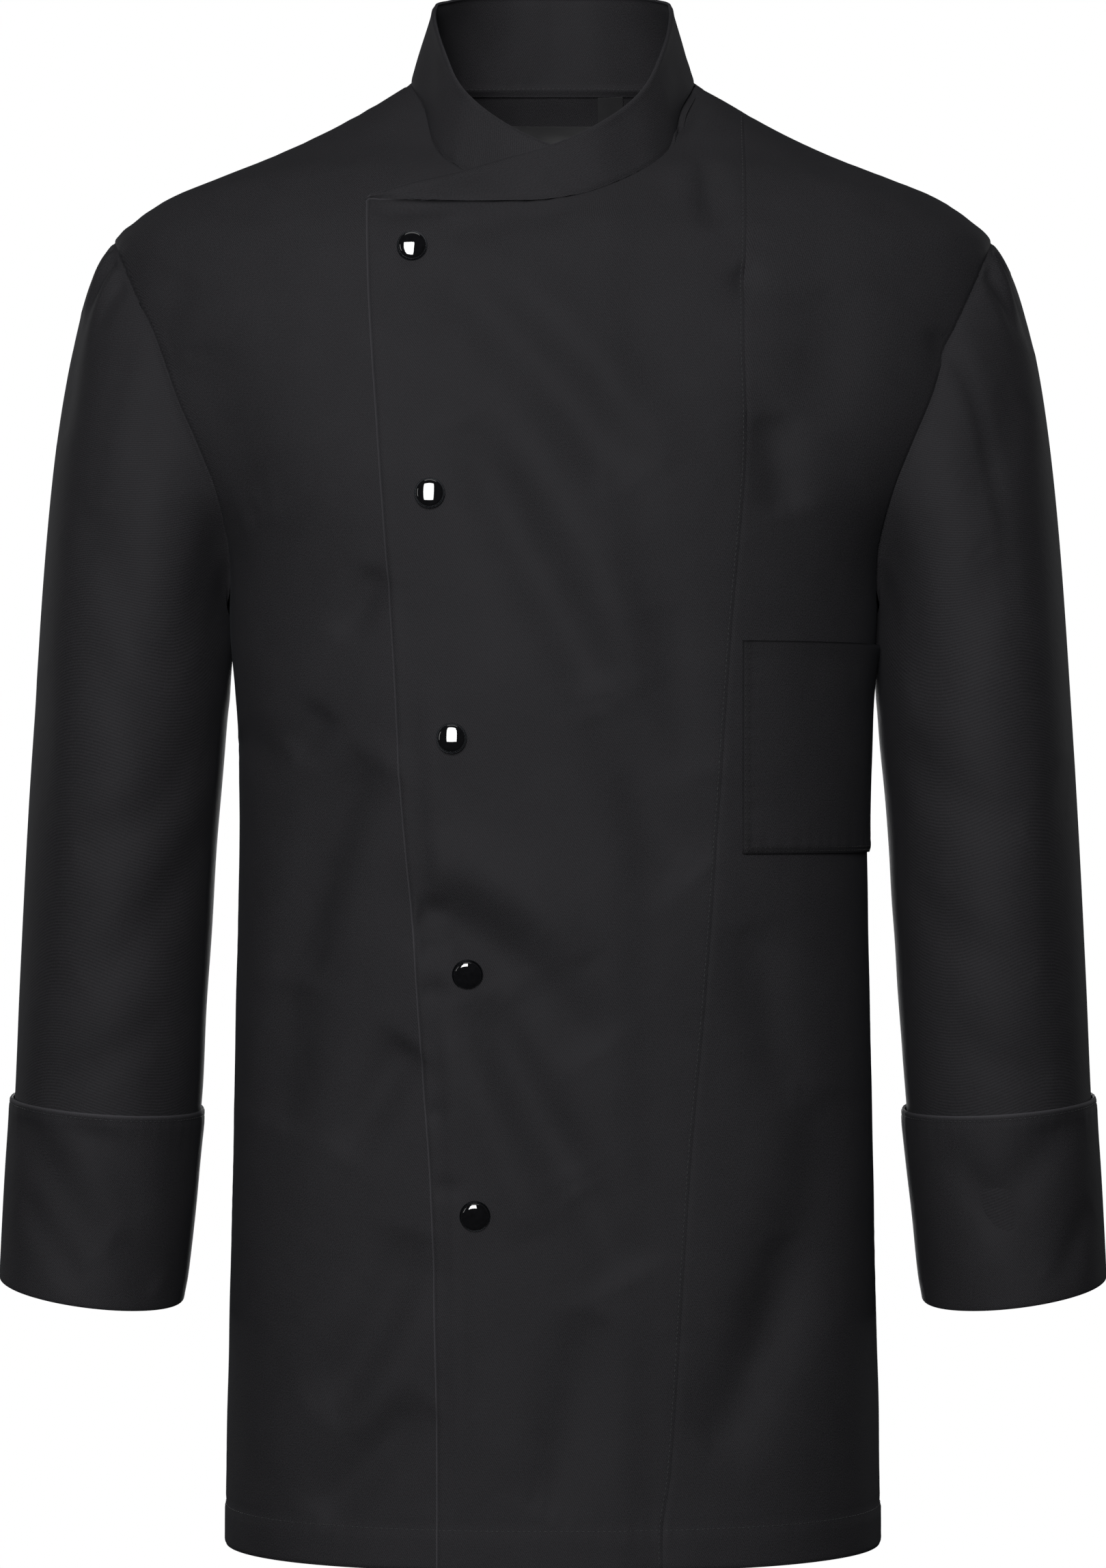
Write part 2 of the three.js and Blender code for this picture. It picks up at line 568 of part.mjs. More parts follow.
function sleeve(side) {
  const loop = armholeLoop(side);
  const count = loop.length;
  const angles = loop.map((_, c) => (2 * Math.PI * c) / count);
  const outer = [];
  for (let r = 0; r < SLEEVE_HEAD_STEPS; r += 1) {
    const t = Math.pow(r / SLEEVE_HEAD_STEPS, 1.3);
    outer.push(
      loop.map(({ place }, c) => {
        const start = sleeveStart(side, angles[c]);
        const from = place.clone().addScaledVector(start, SEAM_GAP);
        const to = sleevePoint(side, SLEEVE_HEAD_Z, angles[c], 0);
        const below = sleevePoint(side, SLEEVE_HEAD_Z - 10, angles[c], 0);
        const reach = from.distanceTo(to);
        const end = new THREE.Vector3().subVectors(below, to).normalize();
        return new THREE.Vector3()
          .addScaledVector(from, 1 - t * t * (3 - 2 * t))
          .addScaledVector(to, t * t * (3 - 2 * t))
          .addScaledVector(start, t * (1 - t) * (1 - t) * 0.46 * reach)
          .addScaledVector(end, t * t * (t - 1) * 0.97 * reach);
      }),
    );
  }
  const endZ = CUFF_BOTTOM_Z + LAYER;
  for (let r = 0; r <= SLEEVE_ARM_STEPS; r += 1) {
    const z = mix(SLEEVE_HEAD_Z, endZ, r / SLEEVE_ARM_STEPS);
    outer.push(angles.map((angle) => sleevePoint(side, z, angle, 0)));
  }
  const inner = outer.map((row, r) =>
    row.map((point, c) => {
      const before = outer[Math.max(r - 1, 0)][c];
      const after = outer[Math.min(r + 1, outer.length - 1)][c];
      const along = new THREE.Vector3().subVectors(after, before);
      const round = new THREE.Vector3().subVectors(row[(c + 1) % count], row[(c + count - 1) % count]);
      const normal = new THREE.Vector3().crossVectors(round, along).normalize().multiplyScalar(side);
      if (r === 0) normal.add(loop[c].normal).normalize();
      return point.clone().addScaledVector(normal, -WALL);
    }),
  );
  return solid(outer, inner, true);
}

// A cuff is the sleeve's end turned back outside: a wall round the sleeve and a fold under its end.
function cuff(side) {
  const section = [
    { z: CUFF_TOP_Z, offset: CUFF_INNER },
    { z: CUFF_TOP_Z, offset: CUFF_OUTER },
    { z: mix(CUFF_TOP_Z, CUFF_BOTTOM_Z, 0.5), offset: CUFF_OUTER },
    { z: CUFF_BOTTOM_Z, offset: CUFF_OUTER },
    { z: CUFF_BOTTOM_Z, offset: -WALL },
    { z: CUFF_BOTTOM_Z + WALL, offset: -WALL },
    { z: CUFF_BOTTOM_Z + WALL, offset: CUFF_INNER },
    { z: mix(CUFF_TOP_Z, CUFF_BOTTOM_Z, 0.5), offset: CUFF_INNER },
  ];
  const count = 2 * ROWS_AT_ARMHOLE;
  const rows = section.map(({ z, offset }) =>
    Array.from({ length: count }, (_, c) => sleevePoint(side, z, (2 * Math.PI * c) / count, offset)),
  );
  return solid(rows, null, true);
}

// A piece that lies on the torso between two sides and two heights.
function patch({ rows, columns, top, bottom }, xAt, face, outerOffset, wall) {
  const layer = (offset) =>
    grid(rows, columns, (up, across) => {
      const z = mix(bottom, top, up);
      return onTorso(xAt(across, z), z, face, offset);
    });
  return solid(layer(outerOffset), layer(outerOffset - wall), false);
}

function pocket() {
  const endAngle = (z) => Math.acos(POCKET.sideY / bodyDepth[FRONT](z));
  const xAt = (across, z) => {
    const startAngle = Math.asin(POCKET.left / bodyHalf(z));
    return bodyHalf(z) * Math.sin(mix(startAngle, endAngle(z), across));
  };
  return patch(POCKET, xAt, FRONT, POCKET.gap + POCKET.wall, POCKET.wall);
}

function label(size) {
  const xAt = (across) => mix(size.left, size.right, across);
  return patch(size, xAt, BACK, -WALL - LABEL_GAP, LABEL_WALL);
}

function stud({ x, z }) {
  const profile = STUD_PROFILE.map(({ radius, height }) => new THREE.Vector2(radius, height));
  const mesh = new THREE.Mesh(new THREE.LatheGeometry(profile, STUD_SIDES));
  const { normal } = torso(x, z, FRONT);
  mesh.position.copy(onTorso(x, z, FRONT, STUD_SEAT));
  mesh.quaternion.setFromUnitVectors(new THREE.Vector3(0, 1, 0), normal);
  return mesh;
}

const jacket = new THREE.Group();

function add(name, piece, finish) {
  const mesh = piece.isMesh ? piece : new THREE.Mesh(piece);
  mesh.name = name;
  mesh.material = new THREE.MeshStandardMaterial(finish);
  jacket.add(mesh);
}

add("back", backPanel(), CLOTH);
add("front_right", rightFront(), CLOTH);
add("front_left", overlapFront(), CLOTH);
add("front_left_side", leftSideFront(), CLOTH);
add("collar", collar(), CLOTH);
for (const [name, side] of [["right", -1], ["left", 1]]) {
  add("sleeve_" + name, sleeve(side), CLOTH);
  add("cuff_" + name, cuff(side), CLOTH);
}
add("pocket", pocket(), CLOTH);
STUDS.forEach((place, i) => add("stud_" + (i + 1), stud(place), STUD_FINISH));
add("neck_label", label(NECK_LABEL), LABEL_FINISH);
add("size_tab", label(SIZE_TAB), LABEL_FINISH);

export default jacket;
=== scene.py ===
"""Chef jacket in black twill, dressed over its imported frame: metres, +Z up, the front faces -Y."""
import math
from typing import NamedTuple

import bpy
import numpy as np
from bpy.props import FloatProperty, FloatVectorProperty, PointerProperty
from mathutils import Matrix, Vector


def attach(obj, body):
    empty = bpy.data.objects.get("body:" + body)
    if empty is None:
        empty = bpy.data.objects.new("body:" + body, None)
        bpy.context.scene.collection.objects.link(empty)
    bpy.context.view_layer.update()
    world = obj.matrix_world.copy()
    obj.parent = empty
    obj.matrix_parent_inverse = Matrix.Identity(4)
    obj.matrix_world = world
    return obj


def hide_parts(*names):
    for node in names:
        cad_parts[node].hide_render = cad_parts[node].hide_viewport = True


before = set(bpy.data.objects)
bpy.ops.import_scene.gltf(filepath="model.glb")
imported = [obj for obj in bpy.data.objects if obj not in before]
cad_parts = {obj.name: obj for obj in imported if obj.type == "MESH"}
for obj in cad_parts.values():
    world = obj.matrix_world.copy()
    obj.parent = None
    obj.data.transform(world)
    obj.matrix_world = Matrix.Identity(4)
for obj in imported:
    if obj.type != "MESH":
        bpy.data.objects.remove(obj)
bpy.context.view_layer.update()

bl_info = {
    "name": "Chef Jacket",
    "version": (1, 0, 0),
    "blender": (4, 5, 0),
    "location": "View3D > Sidebar > Jacket",
    "description": "Builds a black twill chef jacket, filled out as if worn",
    "category": "Add Mesh",
}

MM = 0.001
FRONT, BACK = -1, 1
HEM_Z, UNDERARM_Z, SHOULDER_Z, NECK_Z = -820.0, -300.0, -90.0, 0.0
LAYER = 1.9

# Where a front's rows stop being level, the height at which columns are spread evenly, and where
# the underlap and the overlap end at the top.
YOKE_Z, ARMHOLE_YOKE_Z, SPREAD_Z = -86.0, -112.8, -500.0
UNDERLAP_TOP_Z, OVERLAP_TOP_Z = -76.0, -74.5

# The cloth bulges where it is caught below each armhole, on the torso and on the sleeve.
UNDERARM_BULGE = {"z": -312.0, "x": 180.0, "high": 24.0, "wide": 16.0, "deep": 2.5}
SLEEVE_BULGE = {"z": -313.0, "angle": 176.0, "high": 24.0, "wide": 27.0, "out": 5.0}


def columns(names, *rows):
    """A short table as one array for each named column."""
    return dict(zip(names.split(), np.array(rows, dtype=float).T))


# The torso as level rings by their outer face, in millimetres.
BODY = columns(
    "z half front back power",
    (-820, 184.3, 122, 115, 2.4),
    (-700, 182, 119, 110, 2.4),
    (-554, 179, 117, 106, 2.4),
    (-415, 176.5, 119, 109, 2.35),
    (-346, 178, 121, 114, 2.35),
    (-300, 180, 121, 116, 2.3),
    (-262, 187, 120, 117, 2.3),
    (-232, 209, 118, 116, 2.25),
    (-206, 229, 115, 114, 2.2),
    (-182, 239, 112, 112, 2.2),
    (-151, 246, 107, 109, 2.15),
    (-125, 249, 100, 105, 2.1),
    (-90, 247, 89, 100, 2),
    (-78, 235, 82, 97, 2),
    (-65, 215, 74, 93, 2),
    (-54, 188, 67, 89, 2),
    (-42, 158, 55, 84, 2),
    (-29, 130, 45, 79, 2),
    (-13, 101, 35, 71, 2),
    (0, 80, 28, 64, 2),
    (5, 74, 26, 62, 2),
)
ARMHOLE = columns(
    "z x",
    (-300, 180), (-280, 180.3), (-262, 181.5), (-232, 189), (-206, 199),
    (-182, 209), (-151, 219), (-125, 231), (-101, 242), (-90, 247),
)
OVERLAP_EDGE = columns(
    "z x",
    (-820, -62.8), (-730, -63.4), (-610, -66.7), (-545, -71.5), (-475, -76.3),
    (-400, -82.5), (-316, -87.4), (-205, -95.4), (-130, -100.7), (-74.5, -102.5),
)
UNDERLAP_EDGE = columns("z x", (-820, 30), (-70, 23))
DIVIDING_SEAM = columns(
    "z x",
    (-820, 59), (-796, 59.5), (-767, 64), (-610, 74.2), (-504, 83.5), (-400, 91),
    (-316, 96.6), (-248, 102.7), (-208, 105.5), (-150, 104), (-76, 106.3), (-16, 107),
)

# Collar stations from the middle of the back round the wearer's left to the tip that crosses over.
COLLAR = columns(
    "seam_x seam_z top_x top_y top_z",
    (0, 5, 0, 57, 58),
    (28, 4.6, 25, 53.5, 57.3),
    (52, 3.4, 46, 41, 55),
    (70, 1.8, 60, 22, 50.5),
    (80, 0, 67, 0, 43),
    (71.5, -18, 63.5, -26, 21),
    (65, -42, 54, -46, -3),
    (48, -57, 41.5, -59, -19),
    (23, -70, 21, -69, -34),
    (-2, -75.3, -2, -73, -44.5),
    (-23, -76, -23, -74, -50.5),
    (-48, -76, -48, -70, -57.5),
    (-65, -75.5, -65.5, -70.5, -62),
    (-71.5, -75.3, -72, -71, -63.5),
    (-80, -75, -81, -71.5, -66),
    (-102.5, -74.5, -101, -72, -71.5),
)
NECK_SIDE, UNDERLAP_TOP, NECK_MIDDLE, COLLAR_TIP = 4, 8, 9, 15

# A sleeve below the armhole: rings round the arm by their outer face.
SLEEVE = columns(
    "z x y half_width half_depth roll pitch",
    (-680, 260.2, 2, 49.3, 54, 7.7, 4.8),
    (-623, 255, 1, 51.3, 57, 6, 4),
    (-574, 251, 0, 52, 60, 4.3, 2.8),
    (-508, 247.1, -1, 52.9, 66, 4, 1.5),
    (-415, 242, 1, 53.5, 71, 4.5, 0.5),
    (-345, 237, 3, 54.3, 74, 5, 0),
)
SLEEVE_HEAD_Z, CUFF_TOP_Z, CUFF_BOTTOM_Z = -345.0, -574.0, -680.0
CUFF_OUTER = 3.0
HEAD_EASE = 1.3

# Folds through three places (x, z) of the front view, then how deep each presses in, or stands out
# where that is negative, and its half width.
FOLDS = {
    FRONT: np.array([
        (-57, -116, 2, -179, 40, -233, 4.5, 15),
        (-42, -104, 22, -165, 64, -226, -2.2, 13),
        (-50, -198, -6, -283, 29, -353, 5, 15),
        (24, -345, 47, -403, 76, -446, 4, 16),
        (-30, -190, 20, -270, 52, -345, -2, 14),
        (-63, -96, -33, -88, 11, -84, 1.6, 6),
        (-96, -85, -78, -82, -57, -81, 1.2, 4),
        (-73, -462, -40, -479, -15, -501, 4.6, 13),
        (-20, -497, 4, -518, 23, -540, 2.8, 14),
        (-66, -436, -24, -452, 20, -492, -2.8, 13),
        (-39, -508, -11, -566, 16, -614, 5, 13),
        (12, -606, 28, -638, 40, -663, 3.5, 14),
        (-52, -530, -30, -588, -8, -640, -1.8, 11),
        (-73, -462, -64, -463, -57, -466, 1.4, 4),
        (-72, -484, -64, -485, -57, -487, 1.2, 4),
        (-71, -507, -64, -507, -57, -507, 1.3, 4),
        (-66, -571, -63, -572, -57, -572, 1.1, 4),
        (-64, -614, -57, -614, -48, -615, 1.1, 4),
        (-95, -279, -103, -294, -115, -317, 3, 8),
        (-95, -381, -124, -437, -142, -505, 6, 15),
        (-142, -500, -147, -547, -154, -583, 4, 13),
        (-84, -372, -108, -432, -124, -500, -2.5, 12),
        (-124, -354, -133, -367, -142, -379, 3, 9),
        (-78, -535, -92, -557, -114, -599, 4.5, 11),
        (-75, -637, -97, -693, -129, -738, 4.5, 13),
        (-70, -660, -86, -706, -112, -752, -1.8, 10),
        (-68, -728, -102, -765, -127, -796, 4, 11),
        (-176, -366, -164, -374, -148, -388, 2, 9),
        (-204, -112, -210, -128, -214, -150, 1.2, 10),
        (-196, -150, -180, -205, -160, -250, 3, 18),
        (118, -193, 123, -221, 130, -247, 4, 11),
        (150, -120, 148, -160, 140, -200, 2.2, 16),
        (213, -144, 214, -152, 219, -160, 1.8, 6),
        (86, -50, 87, -71, 90, -92, 2.6, 6),
        (83, 4, 77, -12, 69, -34, 3.6, 5),
        (103, -112, 104, -119, 104, -129, 2.6, 6),
        (-66, -340, -63, -422, -59, -507, -1.2, 5),
        (-57, -520, -52, -640, -50, -791, -1.2, 5),
        (130, -640, 112, -705, 86, -760, 4, 14),
        (150, -560, 138, -640, 120, -720, 3, 14),
        (108, -470, 118, -520, 132, -570, 2.5, 12),
        (20, -680, 12, -735, -6, -790, 3, 14),
        (60, -300, 66, -350, 78, -390, 2, 12),
    ], dtype=float),
    BACK: np.array([
        (-120, -190, -88, -290, -70, -400, 5, 18),
        (118, -180, 84, -285, 62, -385, 4.5, 18),
        (-60, -430, 0, -455, 66, -432, 4, 15),
        (96, -500, 72, -600, 58, -720, 4.5, 17),
        (-104, -520, -78, -630, -66, -740, 4, 17),
        (-52, -120, -30, -170, -24, -240, 2.5, 15),
        (60, -110, 34, -160, 26, -236, 2.5, 15),
        (-30, -20, 0, -34, 32, -20, 2, 9),
        (-150, -330, -110, -372, -60, -380, 3, 12),
        (152, -322, 112, -360, 58, -372, 3, 12),
        (-20, -540, -10, -640, 4, -760, 3, 16),
        (30, -480, 24, -560, 30, -650, -2, 14),
    ], dtype=float),
}
FOLD_SPREAD = 1.25
FOLD_STRENGTH = 1.45
RIPPLE_SEEDS = {FRONT: 7, BACK: 8}

# The same for each side's sleeve and cuff, by the angle round the arm, 0 outside and 90 at the
# front, and by height.
SLEEVE_FOLDS = {
    -1: np.array([
        (12, -128, 20, -160, 26, -205, 3.2, 10),
        (60, -240, 84, -290, 128, -332, 4, 14),
        (62, -300, 96, -352, 142, -380, 3.5, 13),
        (150, -372, 110, -412, 66, -430, 4, 13),
        (152, -420, 118, -468, 78, -508, 3.2, 12),
        (24, -330, 40, -420, 44, -520, 2.5, 16),
        (130, -520, 92, -548, 50, -562, 2.5, 10),
        (205, -300, 250, -352, 292, -372, 4, 14),
        (212, -392, 252, -430, 300, -446, 4.5, 13),
        (220, -480, 262, -520, 300, -540, 3.5, 13),
    ], dtype=float),
    1: np.array([
        (10, -104, 16, -128, 22, -150, 3.6, 9),
        (48, -176, 60, -205, 82, -236, 4, 12),
        (74, -262, 100, -312, 138, -345, 3.6, 14),
        (148, -366, 118, -398, 70, -420, 3.8, 13),
        (34, -380, 44, -452, 50, -530, 2.6, 16),
        (150, -446, 112, -482, 66, -500, 3, 12),
        (126, -528, 96, -548, 60, -560, 2.4, 10),
        (208, -290, 246, -340, 290, -366, 4, 14),
        (214, -398, 256, -426, 302, -450, 4.2, 13),
        (222, -484, 258, -528, 298, -545, 3.4, 13),
    ], dtype=float),
}
CUFF_FOLDS = {
    -1: np.array([
        (30, -576, 62, -606, 98, -650, 2.2, 11),
        (72, -572, 96, -590, 122, -628, 1.6, 9),
        (40, -625, 66, -645, 88, -670, 1.8, 9),
        (104, -640, 122, -655, 138, -668, 1.6, 8),
        (232, -580, 262, -612, 300, -648, 2.0, 11),
    ], dtype=float),
    1: np.array([
        (44, -574, 72, -598, 112, -634, 1.8, 11),
        (128, -590, 104, -622, 74, -662, 1.8, 10),
        (36, -632, 52, -650, 66, -668, 1.4, 8),
        (240, -584, 270, -610, 305, -652, 2.0, 11),
    ], dtype=float),
}
SLEEVE_UNROLL_RADIUS = 62.0

# The studs' places in the front view, and the degrees that each leans off the cloth, across and up.
STUD_PLACES = columns(
    "x z across up",
    (-76.6, -102.3, 8, -8),
    (-66.3, -237.9, 7, 2),
    (-54.4, -370.3, 5, 5),
    (-46.3, -498, 8, -9),
    (-41.9, -628.3, 5, -6),
)
STUD_SEAT = LAYER + 0.7
POCKET = {"left": 102.5, "top": -317.0, "bottom": -433.0, "side_y": 6.0, "gap": 0.9, "wall": 1.2}
NECK_LABEL = {"left": -26.5, "right": 23.5, "top": -14.0, "bottom": -44.0}
SIZE_TAB = {"left": 26.5, "right": 41.0, "top": 1.0, "bottom": -24.0}
LABEL_BEHIND = 2.7
HEM_DEPTH = 22.0
FLOOR_Z = -1090.0

# About how long the sheets are one way and round, which sets how many points they get.
SPANS = {
    "yoke": 72.0, "left_front": 165.0, "collar": 53.0, "sleeve_head": 230.0, "arm": 333.0,
    "sleeve_round": 410.0, "cuff": 104.0, "cuff_round": 360.0, "pocket": 125.0,
}

# Where the columns of the underlap and of the left side front begin, across the front view.
UNDERLAP_X, SIDE_FRONT_X = 28.0, 84.0

# Where the fronts come out from under the collar, and its share of the folds of the torso.
COLLAR_SPREAD_X = (84.0, 92.0)
FOLDS_AT_COLLAR = 0.4

# The short rows of stitches down from the pocket's top edge: place, length and points.
POCKET_BARS = ((154.0, 22.0, 30), (162.5, 9.0, 30), (106.0, 9.0, 20))


def smooth(rows, by, of):
    """A smooth curve through one column of a table, read by another column that rises."""
    at, value = rows[by], rows[of]
    before = np.maximum(np.arange(len(at)) - 1, 0)
    after = np.minimum(np.arange(len(at)) + 1, len(at) - 1)
    slope = (value[after] - value[before]) / (at[after] - at[before])

    def read(x):
        x = np.asarray(x, dtype=float)
        i = np.clip(np.searchsorted(at, x, side="right") - 1, 0, len(at) - 2)
        span = at[i + 1] - at[i]
        t = np.clip((x - at[i]) / span, 0, 1)
        rise = t * t * (3 - 2 * t)
        start = t * (1 - t) ** 2 * span * slope[i]
        end = t * t * (t - 1) * span * slope[i + 1]
        return value[i] + rise * (value[i + 1] - value[i]) + start + end

    return read


body_half = smooth(BODY, "z", "half")
body_depth = {FRONT: smooth(BODY, "z", "front"), BACK: smooth(BODY, "z", "back")}
body_power = smooth(BODY, "z", "power")
armhole_x = smooth(ARMHOLE, "z", "x")
overlap_x = smooth(OVERLAP_EDGE, "z", "x")
underlap_x = smooth(UNDERLAP_EDGE, "z", "x")
dividing_x = smooth(DIVIDING_SEAM, "z", "x")
ring = {name: smooth(SLEEVE, "z", name) for name in SLEEVE if name != "z"}
COLLAR["index"] = np.arange(len(COLLAR["seam_x"]), dtype=float)
station = {name: smooth(COLLAR, "index", name) for name in COLLAR if name != "index"}


def mix(a, b, t):
    return a + (b - a) * t


def smoothstep(x, low, high):
    t = np.clip((x - low) / (high - low), 0, 1)
    return t * t * (3 - 2 * t)


def unit(v):
    return v / np.maximum(np.linalg.norm(v, axis=-1, keepdims=True), 1e-12)


def bell(x, width, at=0.0):
    """1 at a place, and less to either side of it."""
    return np.exp(-(((x - at) / width) ** 2))


def wave(x, length, phase=0.0):
    return np.sin(2 * np.pi * x / length + phase)


def unrolled(folds):
    """The folds of one arm, with their angles as distances round it."""
    rows = folds.copy()
    rows[:, [0, 2, 4]] = np.radians(rows[:, [0, 2, 4]]) * SLEEVE_UNROLL_RADIUS
    return rows


def side_x(z):
    return np.where(z <= UNDERARM_Z, body_half(z), armhole_x(z))


def shoulder_z(x):
    """Height of the shoulder line at a distance from the middle."""
    low, high = SHOULDER_Z, NECK_Z
    while high - low > 0.001:
        middle = (low + high) / 2
        low, high = (middle, high) if body_half(middle) > x else (low, middle)
    return low


def press(u, v, folds):
    """How far a table of folds presses in at places (u, v) of a flat view."""
    total = np.zeros_like(u)
    for x0, z0, x1, z1, x2, z2, depth, width in folds:
        length = math.hypot(x1 - x0, z1 - z0) + math.hypot(x2 - x1, z2 - z1)
        t = np.linspace(0, 1, 12 + int(2.5 * length / width))
        bend = 4 * t * (1 - t)
        px = mix(x0, x2, t) + bend * (x1 - (x0 + x2) / 2)
        pz = mix(z0, z2, t) + bend * (z1 - (z0 + z2) / 2)
        away = np.hypot(u[..., None] - px, v[..., None] - pz)
        nearest = away.min(axis=-1)
        along = t[away.argmin(axis=-1)]
        taper = 1 - 0.85 * (2 * along - 1) ** 4
        total += FOLD_STRENGTH * depth * taper * bell(nearest, FOLD_SPREAD * width)
    return total


def ripple(u, v, seed, longest=150.0, shortest=45.0, waves=9):
    """Uneven cloth: a sum of a few waves of fixed direction and phase, about 1 at its highest."""
    draw = np.random.default_rng(seed)
    total = np.zeros_like(u)
    for k in range(waves):
        length = mix(longest, shortest, k / (waves - 1))
        angle, phase = draw.uniform(0, np.pi), draw.uniform(0, 2 * np.pi)
        along = u * np.cos(angle) + v * np.sin(angle)
        total += wave(along, length, phase) * length / longest
    return total / (0.45 * waves)


def torso(x, z, face, strength=1.0):
    """Places and outward normals of the torso's outer face at places of the front view."""
    share = np.clip(x / body_half(z), -1, 1)
    size = np.abs(share)

    def depth_at(level):
        power = body_power(level)
        return body_depth[face](level) * np.maximum(0, 1 - size ** power) ** (1 / power)

    power, depth, y = body_power(z), body_depth[face](z), depth_at(z)
    flat = unit(np.stack([
        np.sign(share) * size ** (power - 1) / body_half(z),
        face * (y / depth) ** (power - 1) / depth,
    ], axis=-1))
    slope_x = share * (body_half(z + 1) - body_half(z - 1)) / 2
    slope_y = face * (depth_at(z + 1) - depth_at(z - 1)) / 2
    rise = -(flat[..., 0] * slope_x + flat[..., 1] * slope_y)
    normal = unit(np.concatenate([flat, rise[..., None]], axis=-1))
    place = np.stack([x, face * y, z + 0 * x], axis=-1)
    folded = press(x, z, FOLDS[face]) + 0.7 * ripple(x, z, RIPPLE_SEEDS[face])
    beside_arm = bell(z, UNDERARM_BULGE["high"], UNDERARM_BULGE["z"])
    beside_arm = beside_arm * bell(np.abs(x), UNDERARM_BULGE["wide"], UNDERARM_BULGE["x"])
    inward = strength * (folded * smoothstep(y, 0, 14) - UNDERARM_BULGE["deep"] * beside_arm)
    return place - normal * inward[..., None], normal


def overlap_lift(x, z):
    """How far the overlap stands off the torso: one layer over the underlap, none past its edge."""
    edge = underlap_x(z)
    return LAYER * (1 - smoothstep(x, edge + 3, edge + 27))


def steps_between(points):
    """Distance run along the first axis of a grid of points, from its start."""
    step = np.linalg.norm(np.diff(points, axis=0), axis=-1)
    return np.concatenate([np.zeros((1,) + step.shape[1:]), np.cumsum(step, axis=0)])


def edge_distances(points):
    """Distance of each point of an open grid from its bottom, top, left and right edges."""
    up = steps_between(points)
    across = steps_between(points.swapaxes(0, 1)).T
    return {"bottom": up, "top": up[-1] - up, "left": across, "right": across[:, -1:] - across}


def seam_relief(distance, along, seed, roll=0.6, pucker=0.35, reach=7.0):
    """A sewn seam: the cloth rolls in at it and puckers a little beside it."""
    tug = wave(along, 10.5, 2.0 * wave(along, 63, seed))
    fade = 0.5 + 0.5 * wave(along, 140, 2 * seed)
    return -roll * bell(distance, 1.5) + pucker * fade * tug * np.exp(-distance / reach)


def clear_scene_selection():
    for o in bpy.context.selected_objects:
        o.select_set(False)


def make_active(piece):
    clear_scene_selection()
    piece.select_set(True)
    bpy.context.view_layer.objects.active = piece


def grid_faces(rows, cols, closed):
    """Faces of a grid of points, whose columns may close on themselves."""
    last = cols if closed else cols - 1
    r, c = np.meshgrid(np.arange(rows - 1), np.arange(last), indexing="ij")
    right = (c + 1) % cols
    corners = [r * cols + c, r * cols + right, (r + 1) * cols + right, (r + 1) * cols + c]
    return np.stack([k.ravel() for k in corners], axis=1)


def grid_uv(points, closed):
    """Real sizes along a grid's rows and columns in metres, for a weave that follows the cloth."""
    if closed:
        points = np.concatenate([points, points[:, :1]], axis=1)
    up = steps_between(points)
    across = steps_between(points.swapaxes(0, 1)).T
    middle = points.shape[1] // 2
    across = across - across[:, middle : middle + 1]
    return np.stack([across, up], axis=-1) * MM


class Surface(NamedTuple):
    """A sheet's outer face: a grid of points in millimetres, its normals and edges' distances."""

    points: np.ndarray
    outward: np.ndarray
    away: dict
    closed: bool = False
    # Painted light along the sheet's edges, by point: above 0 a painted highlight, below 0 painted
    # shade.
    worn: np.ndarray | None = None


def cloth_mesh(name, surface):
    """A sheet of cloth from the grid of its outer face, turned so that it faces outward."""
    points, outward, closed = surface.points, surface.outward, surface.closed
    rows, cols = points.shape[:2]
    faces = grid_faces(rows, cols, closed)
    flat = points.reshape(-1, 3)
    a, b, d = (flat[faces[:, k]] for k in (0, 1, 3))
    facing = np.einsum("ij,ij->i", np.cross(b - a, d - a), outward.reshape(-1, 3)[faces[:, 0]])
    uv = grid_uv(points, closed)
    r, c = np.divmod(faces[:, 0], cols)
    corner_uv = np.stack([uv[r, c], uv[r, c + 1], uv[r + 1, c + 1], uv[r + 1, c]], axis=1)
    if facing.sum() < 0:
        faces, corner_uv = faces[:, ::-1], corner_uv[:, ::-1]
    mesh = bpy.data.meshes.new(name)
    mesh.from_pydata((flat * MM).tolist(), [], faces.tolist())
    layer = mesh.uv_layers.new(name="cloth")
    layer.data.foreach_set("uv", corner_uv.reshape(-1))
    # Stores the painted highlights and painted shade for the cloth's colour.
    if surface.worn is not None:
        worn = mesh.attributes.new("worn", "FLOAT", "POINT")
        worn.data.foreach_set("value", surface.worn.reshape(-1))
    mesh.validate()
    piece = bpy.data.objects.new(name, mesh)
    bpy.context.scene.collection.objects.link(piece)
    return piece


def add_wall(piece, thickness):
    """Gives a sheet its thickness behind its outer face."""
    make_active(piece)
    wall = piece.modifiers.new("wall", "SOLIDIFY")
    wall.thickness = thickness
    wall.offset = -1
    wall.use_even_offset = False
    bpy.ops.object.modifier_apply(modifier=wall.name)
    bpy.ops.object.shade_smooth_by_angle(angle=math.radians(75))
    return piece


def dress(piece, node, finish):
    """Puts a piece in its node's place, on the one body, with its finish."""
    piece.data.materials.clear()
    piece.data.materials.append(finish)
    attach(piece, "root")
    if node:
        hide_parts(node)
    return piece


def spread(length, step, near_start=True, near_end=True):
    """Shares from 0 to 1 at an even step in millimetres, closer together by a seamed edge."""
    close = np.array([0, 0.6, 1.3, 2.2, 3.4, 5.0])
    low = close if near_start else np.array([0.0])
    high = length - (close if near_end else np.array([0.0]))[::-1]
    count = max(2, int(round((high[0] - low[-1]) / step)))
    middle = np.linspace(low[-1], high[0], count + 1)[1:-1]
    return np.concatenate([low, middle, high]) / length


